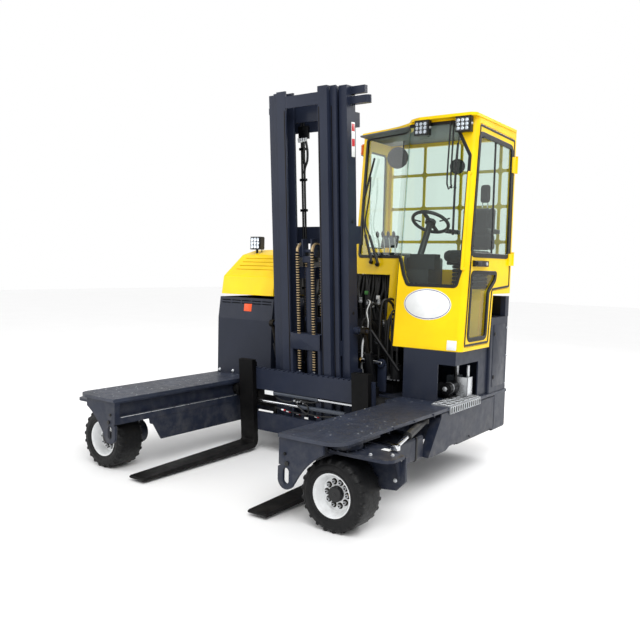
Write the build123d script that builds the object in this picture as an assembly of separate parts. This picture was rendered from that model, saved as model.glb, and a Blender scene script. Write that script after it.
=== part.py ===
from build123d import *
import os
from math import atan2, cos, degrees, hypot, pi, radians, sin, tan

os.makedirs("parts", exist_ok=True)

# A multidirectional forklift: a U-shaped frame on three steered wheels, a mast that
# reaches out between the two legs, a cab over one leg and an engine over the other.
# Millimetres. -Y is forward (fork tips), +X is the cab side, +Z is up, the floor is Z = 0.
# The origin is on the floor in the middle of the frame's length and width.

# Driving dimensions of the frame
FRAME_LENGTH = 2560.0      # deck's front edge to the rear face
BODY_MEASURE = 2560.0      # the rear face in the body's own measure
FRAME_WIDTH = 2450.0       # over both decks
OPENING_WIDTH = 1556.0     # between the legs
DECK_TOP = 592.0
DECK_PLATE = 10.0
DECK_LIP = 24.0            # depth of the deck's folded edge at its front
DECK_CORNER = 118.0        # radius of the outer front corner
LEG_END = 1640.0           # legs end at the rear crossframe
SKIRT_START = 1320.0       # top of the skirts' sloping noses
SKIRT_BOTTOM = 276.0
RAIL_LOW = 398.0           # underside of the rail beam
RAIL_TOP = 568.0
RAIL_DEPTH = 62.0
RAIL_SLOT_LOW = 450.0
RAIL_SLOT_HIGH = 556.0
RAIL_SLOT_DEPTH = 44.0
WEB_BOTTOM = 215.0         # deep web under the rail beam
WEB_THICKNESS = 14.0
REAR_BLOCK_START = 2300.0  # where the rear counterweight begins
TANK_START = 0.273         # hanging tank's front, as a share of the frame's length

# Wheels
TYRE_DIAMETER = 457.0
TYRE_WIDTH = 229.0
TYRE_EDGE = 26.0           # shoulder radius
RIM_DIAMETER = 275.0
DISC_RECESS = 62.0         # wheel disc behind the rim's edge
HUB_CAP_DIAMETER = 96.0
NUT_CIRCLE = 150.0
NUT_COUNT = 10
TREAD_LUGS = 22
TREAD_DEPTH = 11.0
FRONT_WHEEL_X = 1084.0
FRONT_WHEEL_BACK = 245.0   # wheel centre behind the deck's front edge, wheels set sideways
KINGPIN_BACK = 285.0
HUB_BORE = 30.0            # radius of the axle end in the wheel disc
REAR_WHEEL_BACK = 2110.0
REAR_WHEEL_OFFSET = 40.0   # wheel centre ahead of its kingpin, wheel set sideways

# Steering knuckles
KNUCKLE_PLATE_TOP = 500.0
KNUCKLE_PLATE = 20.0
KNUCKLE_REACH = 316.0      # kingpin to the centre of the plate's outer end
KNUCKLE_END_RADIUS = 64.0
SLEW_RADIUS = 108.0
KINGPIN_RADIUS = 45.0
BARREL_SHARE = 0.5792      # of the steering cylinder's length between its pins
MOTOR_DIAMETER = 188.0
MOTOR_LENGTH = 118.0
HANGER_PLATE = 20.0
STEER_EYE = (286.0, 112.0)   # steering pin from the kingpin: outwards, backwards
STEER_ANCHOR = (1150.0, 1190.0)  # cylinder's frame pin: from the centre line, behind the front
STEER_LEVEL = 524.0
STEER_BORE = 56.0
STEER_ROD = 32.0

# Mast: upright sizes, then the whole mast leans forward about its pivot
MAST_LEAN = 4.0
PIVOT_BACK = 1470.0
PIVOT_Z = 300.0
MAST_FRONT_BACK = 1347.0   # inner stage's front face behind the deck's front edge
MAST_TOP = 2992.0
MAST_FOOT = 130.0
STAGE_STEP = 35.0          # each stage's front face behind the next one's
STAGE_DEPTH = 120.0
STAGE_WEB = 16.0
STAGE_FLANGE = 18.0
INNER_NEAR = 158.0         # inner stage's flange, from the centre line
INNER_FAR = 246.0
MIDDLE_FAR = 304.0
OUTER_FAR = 380.0
STAGE_GAP = 6.0

# Carriage and forks, upright sizes
SHANK_AHEAD = 97.0         # shank's front face ahead of the inner stage's front face
FORK_WIDTH = 150.0
FORK_THICK = 50.0
FORK_LENGTH = 1220.0
FORK_HEIGHT = 812.0
FORK_HEEL = 46.0           # heel's underside
FORK_HEEL_THICK = 55.0
FORK_RISE = 1.9            # blade's upper face above square, degrees
FORK_TIP_THICK = 21.0
FORK_SPREAD = 1156.0       # between the forks' middles
CARRIAGE_WIDTH = 1340.0
CARRIAGE_PLATE = 34.0
UPPER_BAR = (558.0, 742.0)
LOWER_BAR = (197.0, 354.0)
SHIFT_UPPER = 538.0        # level of the upper positioner cylinder
SHIFT_LOWER = 455.0

# Cab
CAB_SIDE = 1225.0          # outer side from the centre line
CAB_LEFT = 4.0
CAB_FLOOR = 985.0
CAB_TOP = 2756.0
CAB_FRONT_BACK = 1600.0    # foot of the front panel
CAB_REAR_BACK = 2545.0
CAB_RAKE = 5.14
CAB_WALL = 34.0
CAB_FOLD = 638.0           # sharp fold at the front panel's left
CAB_MAIN_LEFT = 430.0      # left side of the cab's lower part
CAB_SILL = 1690.0          # sill of the left front window
CAB_FOOT_CUT = 80.0        # cut-off corner at the foot of that side
ARM_BOTTOM = 1545.0        # underside of the cab above the open bay
ROOF_THICK = 22.0

CAB_HEEL_BACK = 2137.0     # rear of the cab's lower part
CAB_SHELF = 1412.0         # underside of the cab behind it

# Reach carriage between the legs
REACH_X = 560.0            # its two-stage cylinders
REACH_LEVEL = 420.0
SLEEVE_RADIUS = 44.0
REACH_ROD_RADIUS = 30.0
ROLLER_RADIUS = 52.0

# Engine side
HOUSE_SIDE = 1212.0
HOUSE_INNER = 566.0
HOUSE_FRONT_BACK = 1540.0
HOUSE_TOP = 1300.0
HOUSE_FOLD_DROP = 197.0    # fold below the house's top
HOOD_GAP = 28.0            # open joint between house and hood
HOOD_RISE = ((26.0, 166.0), (284.0, 367.0), (464.0, 414.0))  # behind the hood's foot, above it
HOOD_CROWN = 440.0         # highest edge above the hood's foot
SHEET = 6.0

# Running clearances
PIN_CLEARANCE = 0.05
FACE_GAP = 0.3
MOVE_GAP = 6.0

HALF_WIDTH = FRAME_WIDTH / 2
HALF_OPENING = OPENING_WIDTH / 2
FRONT = -FRAME_LENGTH / 2
REAR = FRAME_LENGTH / 2
TYRE_RADIUS = TYRE_DIAMETER / 2
SIDES = (("cab_side", 1), ("engine_side", -1))

NODES = {}


def back(distance):
    """Y of a place on the legs, given as its distance behind the deck's front edge."""
    return FRONT + distance


def aft(distance):
    """Y of a place on the body, in the body's own measure that ends at the rear face."""
    return REAR - (BODY_MEASURE - distance)


def keep(name, shape):
    """Remember a finished piece under its node's name."""
    NODES[name] = shape


def box(x, y, z):
    """A block between the limits of three pairs."""
    size = [high - low for low, high in (x, y, z)]
    middle = [(high + low) / 2 for low, high in (x, y, z)]
    return Pos(*middle) * Box(*size)


def rod(start, end, radius):
    """A round bar from one point to another."""
    axis = Vector(*end) - Vector(*start)
    plane = Plane(origin=start, z_dir=axis)
    return plane * Cylinder(radius, axis.length, align=(Align.CENTER, Align.CENTER, Align.MIN))


def plate_xz(outline, y, thickness):
    """A plate that stands across the truck: outline in X and Z, grown towards +Y."""
    face = make_face(Polyline(*outline, close=True).edges())
    return Plane(origin=(0, y, 0), x_dir=(1, 0, 0), z_dir=(0, -1, 0)) * extrude(face, -thickness)


def plate_yz(outline, x, thickness):
    """A plate that stands along the truck: outline in Y and Z, grown towards +X."""
    face = make_face(Polyline(*outline, close=True).edges())
    return Plane(origin=(x, 0, 0), x_dir=(0, 1, 0), z_dir=(1, 0, 0)) * extrude(face, thickness)


def plate_xy(outline, z, thickness):
    """A level plate: outline in X and Y, grown upwards."""
    return Pos(0, 0, z) * extrude(make_face(Polyline(*outline, close=True).edges()), thickness)


def side(shape, sign):
    """A piece drawn for the +X side, put on the side that sign gives."""
    return shape if sign > 0 else mirror(shape, about=Plane.YZ)


def pick(shape, axis, low, high):
    """Edges that run along an axis and whose middles lie within a box."""
    def inside(edge):
        centre = edge.center()
        return all(a <= c <= b for a, c, b in zip(low, centre, high))
    return shape.edges().filter_by(axis).filter_by(inside)


# Decks: a tread plate on each leg with a folded lip, its outer front corner rounded
def deck(length, inner_points):
    corner = DECK_CORNER
    with BuildSketch() as top:
        with BuildLine():
            Polyline((HALF_OPENING, back(0)), (HALF_WIDTH - corner, back(0)))
            RadiusArc((HALF_WIDTH - corner, back(0)), (HALF_WIDTH, back(corner)), -corner)
            Polyline((HALF_WIDTH, back(corner)), (HALF_WIDTH, back(length)), *inner_points,
                     (HALF_OPENING, back(0)))
        make_face()
    outer = extrude(top.sketch, DECK_LIP)
    inner = extrude(offset(top.sketch, -DECK_PLATE, kind=Kind.INTERSECTION), DECK_LIP - DECK_PLATE)
    return Pos(0, 0, DECK_TOP - DECK_LIP) * (outer - inner)


cab_inner_edge = [(742.0, REAR), (742.0, aft(1561)), (718.0, aft(1370)), (HALF_OPENING, aft(1290))]
engine_inner_edge = [(HOUSE_INNER, REAR), (HOUSE_INNER, aft(1600)), (HALF_OPENING, aft(1560))]
keep("decks", [deck(FRAME_LENGTH, cab_inner_edge), side(deck(FRAME_LENGTH, engine_inner_edge), -1)])


# Legs: a rail beam open towards the mast, a front plate with its towing eye, a deep web,
# and the cross plates and bearing ring under the deck
RAIL_FRONT = 12.0
FRONT_PLATE = 20.0
EYE_X = 834.0
EYE_RADIUS = 62.0
EYE_LOW = 312.0
EYE_SLOT = (46.0, 100.0)
BEARING_RADIUS = SLEW_RADIUS
BEARING_TOP = 548.0
UNDER_DECK = DECK_TOP - DECK_LIP


def leg():
    y_end = aft(LEG_END)
    beam = box((HALF_OPENING, HALF_OPENING + RAIL_DEPTH), (back(RAIL_FRONT), y_end), (RAIL_LOW, RAIL_TOP))
    slot = box((HALF_OPENING - 1, HALF_OPENING + RAIL_SLOT_DEPTH), (back(60), y_end + 1),
               (RAIL_SLOT_LOW, RAIL_SLOT_HIGH))
    body = beam - slot
    # front plate: down the inner side to the towing eye, then an arc over the wheel
    left = HALF_OPENING + 22
    with BuildSketch() as front:
        with BuildLine():
            Polyline((EYE_X - EYE_RADIUS, EYE_LOW), (EYE_X - EYE_RADIUS, 386), (left, 402),
                     (left, UNDER_DECK), (1108, UNDER_DECK), (1106, 507))
            ThreePointArc((1106, 507), (972, 402), (EYE_X + EYE_RADIUS, EYE_LOW - 18))
            Line((EYE_X + EYE_RADIUS, EYE_LOW - 18), (EYE_X + EYE_RADIUS, EYE_LOW))
            ThreePointArc((EYE_X + EYE_RADIUS, EYE_LOW), (EYE_X, EYE_LOW - EYE_RADIUS),
                          (EYE_X - EYE_RADIUS, EYE_LOW))
        make_face()
        with Locations((EYE_X, EYE_LOW + 22)):
            SlotOverall(EYE_SLOT[1], EYE_SLOT[0], rotation=90, mode=Mode.SUBTRACT)
    sheet = Plane(origin=(0, back(RAIL_FRONT), 0), x_dir=(1, 0, 0), z_dir=(0, -1, 0)) * extrude(
        front.sketch, -FRONT_PLATE)
    # deep web, from its sloping nose back to the body
    web = plate_yz([(back(350), RAIL_LOW), (back(360), 352), (back(390), 342), (back(470), WEB_BOTTOM),
                    (y_end, WEB_BOTTOM), (y_end, RAIL_LOW)], HALF_OPENING + 4, WEB_THICKNESS)
    # carrier plate for the steering bearing and two cross ribs under the deck
    reach = HALF_OPENING + RAIL_DEPTH
    carrier = box((reach - 2, HALF_WIDTH - 12), (back(RAIL_FRONT + 110), back(480)),
                  (BEARING_TOP, UNDER_DECK))
    ribs = [box((reach - 2, HALF_WIDTH - 20), (y, y + 12), (z, UNDER_DECK))
            for y, z in ((back(600), 546), (aft(1240), 546), (aft(1600), SKIRT_BOTTOM + 4))]
    ring_z = KNUCKLE_PLATE_TOP + MOVE_GAP
    ring = rod((FRONT_WHEEL_X, back(KINGPIN_BACK), ring_z), (FRONT_WHEEL_X, back(KINGPIN_BACK),
                                                             BEARING_TOP + 1),
               BEARING_RADIUS)
    bore = rod((FRONT_WHEEL_X, back(KINGPIN_BACK), ring_z - 1),
               (FRONT_WHEEL_X, back(KINGPIN_BACK), BEARING_TOP),
               KINGPIN_RADIUS + PIN_CLEARANCE)
    return body + sheet + web + carrier + ribs + ring - bore


anchor_pin = rod((STEER_ANCHOR[0], aft(STEER_ANCHOR[1]), STEER_LEVEL - 26),
                 (STEER_ANCHOR[0], aft(STEER_ANCHOR[1]), UNDER_DECK), 14)
leg_shape = leg() + anchor_pin + box((1120, 1180), (aft(1176), aft(1252)), (556, UNDER_DECK))
keep("legs", [side(leg_shape, sign) for name, sign in SIDES])


# Side skirts with their sloping noses and stepped lower edges, and the rear counterweight
SKIRT_PLATE = 14.0


def skirt():
    outline = [(SKIRT_START, 560), (SKIRT_START, 534), (1136, 284), (1136, SKIRT_BOTTOM),
               (1404, SKIRT_BOTTOM), (1466, 300), (1740, 300), (1752, 318), (1822, 318), (1836, 300),
               (2240, 300), (REAR_BLOCK_START, SKIRT_BOTTOM), (REAR_BLOCK_START, 560)]
    panel = plate_yz([(aft(y), z) for y, z in outline], HALF_WIDTH - SKIRT_PLATE - 2, SKIRT_PLATE)
    nose = plate_yz([(aft(SKIRT_START), 534), (aft(1136), 284), (aft(1136), SKIRT_BOTTOM),
                     (aft(1156), SKIRT_BOTTOM), (aft(1344), 534)], HALF_WIDTH - 76, 62)
    return panel + nose


skirt_shape = skirt()
keep("skirts", [side(skirt_shape, sign) for name, sign in SIDES])

# The rear crossframe joins the legs behind the mast, round the rear wheel's well
WELL_HALF = 330.0
WELL_TOP = 548.0
crossframe = box((-HALF_WIDTH + 20, HALF_WIDTH - 20), (aft(LEG_END), aft(REAR_BLOCK_START)),
                 (SKIRT_BOTTOM, UNDER_DECK))
crossframe -= box((-WELL_HALF, WELL_HALF), (aft(LEG_END + 60), aft(REAR_BLOCK_START) + 1), (0, WELL_TOP))
crossframe += rod((0, aft(REAR_WHEEL_BACK), KNUCKLE_PLATE_TOP + MOVE_GAP),
                  (0, aft(REAR_WHEEL_BACK), WELL_TOP + 1),
                  BEARING_RADIUS)
crossframe -= rod((0, aft(REAR_WHEEL_BACK), 0), (0, aft(REAR_WHEEL_BACK), WELL_TOP),
                  KINGPIN_RADIUS + PIN_CLEARANCE)
crossframe -= [rod((x, aft(LEG_END) - 1, REACH_LEVEL), (x, aft(REAR_BLOCK_START) + 1, REACH_LEVEL),
                   SLEEVE_RADIUS + PIN_CLEARANCE) for x in (-REACH_X, REACH_X)]
keep("rear_crossframe", crossframe)
weight = box((-HALF_WIDTH, HALF_WIDTH), (aft(REAR_BLOCK_START), REAR), (265, UNDER_DECK))
weight = fillet(pick(weight, Axis.Z, (-2000, REAR - 5, 0), (2000, REAR + 5, 900)), 30)
weight = fillet(pick(weight, Axis.X, (-2000, REAR - 5, 200), (2000, REAR + 5, 300)), 24)
weight -= box((-WELL_HALF, WELL_HALF), (aft(REAR_BLOCK_START) - 1, aft(2420)), (0, WELL_TOP))
keep("counterweight", weight)

# Tank that hangs behind the front wheel on the cab side
tank_y = (back(FRAME_LENGTH * TANK_START), aft(1128))
tank = box((HALF_OPENING + RAIL_DEPTH + FACE_GAP, HALF_WIDTH - 45), tank_y, (268, 440))
keep("fuel_tank", fillet(tank.edges().filter_by(Axis.Y), 22)
     + [box((HALF_OPENING + 80, HALF_OPENING + 110), (y, y + 40), (438, RAIL_LOW + 160))
        for y in (tank_y[0] + 20, tank_y[1] - 60)])

# Cab pedestal: folded sheet round an open service bay that wraps its front corner
PEDESTAL_FRONT_BACK = 1580.0
PEDESTAL_REAR_BACK = 2180.0
PEDESTAL_SHEET = 12.0
BAY_TOP = 880.0
PEDESTAL_SIDE = 1196.0
pedestal_x = (752.0, PEDESTAL_SIDE)
pedestal = box(pedestal_x, (aft(PEDESTAL_FRONT_BACK), aft(PEDESTAL_REAR_BACK)),
               (DECK_TOP, CAB_FLOOR - FACE_GAP))
pedestal -= box((pedestal_x[0] + PEDESTAL_SHEET, PEDESTAL_SIDE - PEDESTAL_SHEET),
                (aft(PEDESTAL_FRONT_BACK) + PEDESTAL_SHEET, aft(PEDESTAL_REAR_BACK) - PEDESTAL_SHEET),
                (DECK_TOP - 1, CAB_FLOOR - PEDESTAL_SHEET))
pedestal -= box((1050, PEDESTAL_SIDE + 1), (aft(PEDESTAL_FRONT_BACK) - 1, aft(2004)), (DECK_TOP - 1, BAY_TOP))
keep("cab_pedestal", pedestal)

# What stands in the bay: a filter on its bracket, a valve box and a pale pipe
bay_filter = rod((1070, aft(1690), 680), (1070, aft(1860), 680), 46) + rod(
    (1070, aft(1680), 680), (1070, aft(1690), 680), 30)
bay_filter += box((1040, 1074), (aft(1740), aft(1820)), (DECK_TOP, 690))
bay_box = box((984, 1070), (aft(1880), aft(1990)), (DECK_TOP, 760))
bay_box += rod((1040, aft(1950), 759), (1040, aft(1950), 862), 16)
keep("bay_fittings", [bay_filter, bay_box])

# Side body behind the pedestal: a closed locker and the post that guards its top
BODY_REAR = BODY_MEASURE - 8
LOCKER_SIDE = 1217.0
LOCKER_TOP = CAB_SHELF - 195
locker = box((752, LOCKER_SIDE), (aft(PEDESTAL_REAR_BACK) + 2, aft(BODY_REAR)), (DECK_TOP, LOCKER_TOP))
locker = fillet(pick(locker, Axis.Z, (1200, -2000, 0), (1300, 2000, 2000)), 12)
post = box((1172, LOCKER_SIDE), (aft(2480), aft(BODY_REAR)), (LOCKER_TOP - 1, CAB_SHELF - 24))
keep("side_locker", locker + post)

# Serrated step on the deck's edge: oval holes in a tread that folds over the edge
STEP_X = (1078.0, HALF_WIDTH + 8)
STEP_Y = (1440.0, 1990.0)
STEP_THICK = 4.0
step = box((STEP_X[0], STEP_X[1]), (aft(STEP_Y[0]), aft(STEP_Y[1])), (DECK_TOP, DECK_TOP + STEP_THICK + 6))
step += box((HALF_WIDTH, STEP_X[1]), (aft(STEP_Y[0]), aft(STEP_Y[1])), (DECK_TOP - 52, DECK_TOP + 6))
holes = GridLocations(78, 46, 7, 3)
hole = extrude(SlotOverall(34, 22), 40)
step -= [Pos((STEP_X[0] + HALF_WIDTH) / 2 - 4, aft(sum(STEP_Y) / 2), DECK_TOP - 1) * Rot(0, 0,
                                                                                         90) * spot * hole
         for spot in holes.locations]
keep("step_tread", step)

# Engine house: sheet walls with a fold, louvred, open under the hood
HOUSE_FOLD = HOUSE_TOP - HOUSE_FOLD_DROP
HOOD_FOOT = HOUSE_TOP + HOOD_GAP
house_outline = [(aft(HOUSE_FRONT_BACK), DECK_TOP), (aft(HOUSE_FRONT_BACK), HOUSE_FOLD),
                 (aft(HOUSE_FRONT_BACK + 26), HOUSE_TOP), (aft(BODY_REAR), HOUSE_TOP), (aft(BODY_REAR),
                                                                                        DECK_TOP)]
house = plate_yz(house_outline, HOUSE_INNER, HOUSE_SIDE - HOUSE_INNER)
hollow_outline = [(aft(HOUSE_FRONT_BACK + SHEET * 2), DECK_TOP + 8),
                  (aft(HOUSE_FRONT_BACK + SHEET * 2), HOUSE_FOLD),
                  (aft(HOUSE_FRONT_BACK + 26 + SHEET * 2), HOUSE_TOP + 1), (aft(BODY_REAR - SHEET * 2),
                                                                            HOUSE_TOP + 1),
                  (aft(BODY_REAR - SHEET * 2), DECK_TOP + 8)]
house -= plate_yz(hollow_outline, HOUSE_INNER + SHEET * 2, HOUSE_SIDE - HOUSE_INNER - SHEET * 4)
SLOT_PITCH = 122.0
house -= [box((HOUSE_INNER + 22 + SLOT_PITCH * i, HOUSE_INNER + 130 + SLOT_PITCH * i), (aft(1500), aft(1620)),
              (z, z + 8))
          for i in range(5) for z in (HOUSE_TOP - 56, HOUSE_TOP - 32)]
HINGE_AT = (aft(BODY_REAR - 14), HOUSE_TOP + 14)
HINGE_PIN = 7.0
EAR = 10.0                 # half the hinge ears' depth
house += rod((700, *HINGE_AT), (1078, *HINGE_AT), HINGE_PIN)
house += [box((x, x + 18), (HINGE_AT[0] - EAR, HINGE_AT[0] + EAR),
              (HOUSE_TOP - 1, HINGE_AT[1] + HINGE_PIN + 1))
          for x in (690, 880, 1070)]
keep("engine_house", side(house, -1))
keep("engine_block", box((-1080, -700), (aft(1700), aft(2380)), (DECK_TOP + 8, HOUSE_TOP - 120)))

# Hood: a yellow shell with a sloping, louvred front and a crowned top, hinged at the back
hood_y = (HOUSE_FRONT_BACK + 6, BODY_REAR - 4)


def hood_body(inset):
    low = HOOD_FOOT - (1 if inset else 0)
    front = [(aft(hood_y[0] + run + inset * 0.7), HOOD_FOOT + rise - inset * 0.7) for run, rise in HOOD_RISE]
    outline = [(aft(hood_y[0] + inset), low), *front, (aft(hood_y[1] - 60 - inset * 0.5),
                                                       HOOD_FOOT + HOOD_CROWN - inset),
               (aft(hood_y[1] - inset), HOOD_FOOT + HOOD_CROWN - 90), (aft(hood_y[1] - inset), low)]
    return plate_yz(outline, HOUSE_INNER - 2 + inset, HOUSE_SIDE - HOUSE_INNER - 16 - 2 * inset)


HOOD_SHEET = 14.0
HOOD_EDGE = 26.0
above_knee = (0, -9000, HOOD_FOOT + HOOD_RISE[0][1] - 20)
hood = fillet(pick(hood_body(0), Axis.X, above_knee, (9000, 9000, 9000)), HOOD_EDGE)
hood = fillet(hood.faces().sort_by(Axis.X)[-1].edges().filter_by(lambda e: e.center().Z > HOOD_FOOT + 100),
              HOOD_EDGE)
hood -= hood_body(HOOD_SHEET)
(knee_run, knee_rise), (crest_run, crest_rise) = HOOD_RISE[:2]
slope = degrees(atan2(crest_rise - knee_rise, crest_run - knee_run))
slope_run = hypot(crest_rise - knee_rise, crest_run - knee_run)
louvre = Box(440, 9, 60)
rows = [Pos((HOUSE_INNER + HOUSE_SIDE) / 2 - 10, aft(hood_y[0] + knee_run),
            HOOD_FOOT + knee_rise) * Rot(slope, 0, 0)
        * Pos(0, slope_run * (0.32 + 0.17 * i), 0) * louvre for i in range(4)]
hood -= rows
lamp_x, lamp_y = 1060.0, aft(1900)
lamp_z = HOOD_FOOT + crest_rise + 6
hood += rod((lamp_x, lamp_y, lamp_z), (lamp_x, lamp_y, lamp_z + 58), 12)
hood += box((lamp_x - 64, lamp_x + 64), (lamp_y - 26, lamp_y + 28), (lamp_z + 46, lamp_z + 168))
for x in (715, 905):
    hood += rod((x, *HINGE_AT), (x + 158, *HINGE_AT), 12)
    hood += box((x, x + 158), (HINGE_AT[0] - 6, HINGE_AT[0] + 6), (HINGE_AT[1], HOOD_FOOT + 20))
hood -= rod((700, *HINGE_AT), (1078, *HINGE_AT), HINGE_PIN + PIN_CLEARANCE)
keep("engine_hood", side(hood, -1))

# Middle of the body, behind the mast: hydraulic tank and valve bank
tank_top = CAB_SHELF - 172
hydraulic = box((-HOUSE_INNER + 10, 650), (aft(2190), aft(BODY_REAR - 10)), (UNDER_DECK, tank_top))
hydraulic += box((-HOUSE_INNER + 10, CAB_MAIN_LEFT - 12), (aft(2010), aft(2200)), (UNDER_DECK, tank_top))
hydraulic += box((60, CAB_MAIN_LEFT - 12), (aft(2060), aft(BODY_REAR - 10)), (tank_top - 1, ARM_BOTTOM - 25))
keep("hydraulic_tank", hydraulic)
valves = box((-420, 560), (aft(1760), aft(2000)), (UNDER_DECK, 642))
valves += [box((-360 + 110 * i, -290 + 110 * i), (aft(1800), aft(1960)), (640, 860)) for i in range(8)]
keep("valve_bank", valves)


# Wheels
def tyre(diameter, width, lugs, depth):
    """A block-tread tyre round the Y axis, its lugs cut into both shoulders."""
    r = diameter / 2
    w = width / 2
    rim = RIM_DIAMETER / 2
    with BuildSketch(Plane.XZ) as profile:
        with BuildLine():
            Polyline((rim, -w + 16), (rim + 14, -w + 4), (r * 0.74, -w), (r - TYRE_EDGE, -w + 6),
                     (r, -w + TYRE_EDGE + 4),
                     (r, w - TYRE_EDGE - 4), (r - TYRE_EDGE, w - 6), (r * 0.74, w), (rim + 14, w - 4),
                     (rim, w - 16), close=True)
        make_face()
    solid = Rot(-90, 0, 0) * revolve(profile.sketch, Axis.Z)
    groove = Pos(r, 0, 0) * Box(depth * 2, width * 0.36, pi_step(diameter, lugs) * 0.42)
    cuts = []
    for i in range(lugs):
        for s in (1, -1):
            turn = 360.0 / lugs * (i + (0.5 if s > 0 else 0))
            cuts.append(Rot(0, turn, 0) * Pos(0, s * width * 0.37, 0) * groove)
    return solid - cuts


def pi_step(diameter, count):
    """Length of one pitch round a circle."""
    return pi * diameter / count


def rim(width):
    """Deep-dished rim and disc round the Y axis, its open side towards -Y."""
    r = RIM_DIAMETER / 2
    w = width / 2
    edge = -w + 16
    with BuildSketch(Plane.XZ) as profile:
        with BuildLine():
            Polyline((HUB_BORE, edge + DISC_RECESS), (r - 34, edge + DISC_RECESS), (r - 14, edge + 8),
                     (r - 6, edge - 6),
                     (r - FACE_GAP, edge - 6), (r - FACE_GAP, w - 16), (r - 14, w - 16), (r - 14,
                                                                                          edge + DISC_RECESS + 12),
                     (HUB_BORE, edge + DISC_RECESS + 12), close=True)
        make_face()
    disc = Rot(-90, 0, 0) * revolve(profile.sketch, Axis.Z)
    nuts = PolarLocations(NUT_CIRCLE / 2, NUT_COUNT)
    nut = extrude(RegularPolygon(11, 6), 17)
    disc += [Pos(0, edge + DISC_RECESS, 0) * Rot(90, 0, 0) * spot * nut for spot in nuts.locations]
    disc += Pos(0, edge + DISC_RECESS - 14, 0) * Rot(90, 0, 0) * Cylinder(HUB_CAP_DIAMETER / 2, 32)
    return disc


front_tyre = tyre(TYRE_DIAMETER, TYRE_WIDTH, TREAD_LUGS, TREAD_DEPTH)
front_rim = rim(TYRE_WIDTH)
for name, sign in SIDES:
    place = Pos(sign * FRONT_WHEEL_X, back(FRONT_WHEEL_BACK), TYRE_RADIUS)
    keep("tyre_front_" + name, place * front_tyre)
    keep("rim_front_" + name, place * front_rim)


# Front knuckles: a plate that turns under the leg, a hanger behind the wheel, the hub motor
def knuckle():
    x0, y0 = FRONT_WHEEL_X, back(KINGPIN_BACK)
    top, low = KNUCKLE_PLATE_TOP, KNUCKLE_PLATE_TOP - KNUCKLE_PLATE
    wheel_back = back(FRONT_WHEEL_BACK) + TYRE_WIDTH / 2
    hang_y = wheel_back + 14
    r = KNUCKLE_END_RADIUS
    end = x0 + KNUCKLE_REACH
    with BuildSketch() as outline:
        with BuildLine():
            Polyline((end, y0 - 115), (x0 - 40, y0 - 115))
            ThreePointArc((x0 - 40, y0 - 115), (x0 - 125, y0 + 20), (x0 - 20, y0 + 190))
            Polyline((x0 - 20, y0 + 190), (x0 + 170, y0 + 190), (end + r, y0 + 60), (end + r, y0 - 115 + r))
            ThreePointArc((end + r, y0 - 115 + r), (end + r * 0.7, y0 - 115 + r * 0.3), (end, y0 - 115))
        make_face()
    body = Pos(0, 0, low) * extrude(outline.sketch, KNUCKLE_PLATE)
    body += rod((x0, y0, top - 1), (x0, y0, BEARING_TOP - 4), KINGPIN_RADIUS)
    hanger = plate_xz([(x0 - 96, low + 1), (end + r - 6, low + 1), (end + r - 6, 330), (end, 270),
                       (x0 + 170, 256),
                       (x0 + 96, 170), (x0, 132), (x0 - 96, 170)], hang_y, HANGER_PLATE)
    gusset = plate_yz([(hang_y - 60, low + 1), (hang_y + 2, low + 1), (hang_y + 2, 320)], end + 12, 16)
    body += [hanger, gusset]
    return body


def hub_motor():
    x0 = FRONT_WHEEL_X
    hang_y = back(FRONT_WHEEL_BACK) + TYRE_WIDTH / 2 + 14
    z = TYRE_RADIUS
    body = rod((x0, hang_y + HANGER_PLATE - 1, z), (x0, hang_y + HANGER_PLATE + MOTOR_LENGTH, z),
               MOTOR_DIAMETER / 2)
    body += rod((x0, hang_y + HANGER_PLATE + MOTOR_LENGTH - 1, z),
                (x0, hang_y + HANGER_PLATE + MOTOR_LENGTH + 24, z), 62)
    return body


def axle_stub():
    x0 = FRONT_WHEEL_X
    hang_y = back(FRONT_WHEEL_BACK) + TYRE_WIDTH / 2 + 14
    start = back(FRONT_WHEEL_BACK) - TYRE_WIDTH / 2 + 16 + DISC_RECESS + 12 + 8
    z = TYRE_RADIUS
    return rod((x0, start, z), (x0, hang_y + 1, z), 84) + rod((x0, start - 17, z), (x0, start + 1, z),
                                                              HUB_BORE - PIN_CLEARANCE)


knuckle_shape = knuckle() + axle_stub() + hub_motor()
for name, sign in SIDES:
    keep("knuckle_" + name, side(knuckle_shape, sign))

# Front steering cylinders: barrel pinned under the leg, rod eye with its bolt on the knuckle's plate
eye = Vector(FRONT_WHEEL_X + STEER_EYE[0], back(KINGPIN_BACK + STEER_EYE[1]), STEER_LEVEL)
anchor = Vector(STEER_ANCHOR[0], aft(STEER_ANCHOR[1]), STEER_LEVEL)
steer_axis = (anchor - eye).normalized()
barrel_length = (anchor - eye).length * BARREL_SHARE
rod_inside = barrel_length * 0.31   # rod's end inside its barrel


def steer_barrel():
    start = anchor - steer_axis * (barrel_length + 30)
    body = rod(start, anchor - steer_axis * 30, STEER_BORE / 2)
    body -= rod(start - steer_axis, anchor - steer_axis * 60, STEER_ROD / 2 + PIN_CLEARANCE)
    lug = rod(anchor - Vector(0, 0, 17), anchor + Vector(0, 0, 17), 36)
    lug += rod(anchor - steer_axis * 36, anchor, 17)
    return body + lug - rod(anchor - Vector(0, 0, 20), anchor + Vector(0, 0, 20), 14 + PIN_CLEARANCE)


def steer_rod():
    end = anchor - steer_axis * (barrel_length - rod_inside)
    body = rod(eye + steer_axis * 20, end, STEER_ROD / 2)
    ring = rod(eye - Vector(0, 0, 14), eye + Vector(0, 0, 14), 30)
    bolt = rod(eye - Vector(0, 0, 17), eye + Vector(0, 0, 17), 18)
    return body + ring + bolt


barrel_shape, rod_shape = steer_barrel(), steer_rod()
for name, sign in SIDES:
    keep("steer_barrel_" + name, side(barrel_shape, sign))
    keep("steer_rod_" + name, side(rod_shape, sign))


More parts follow.
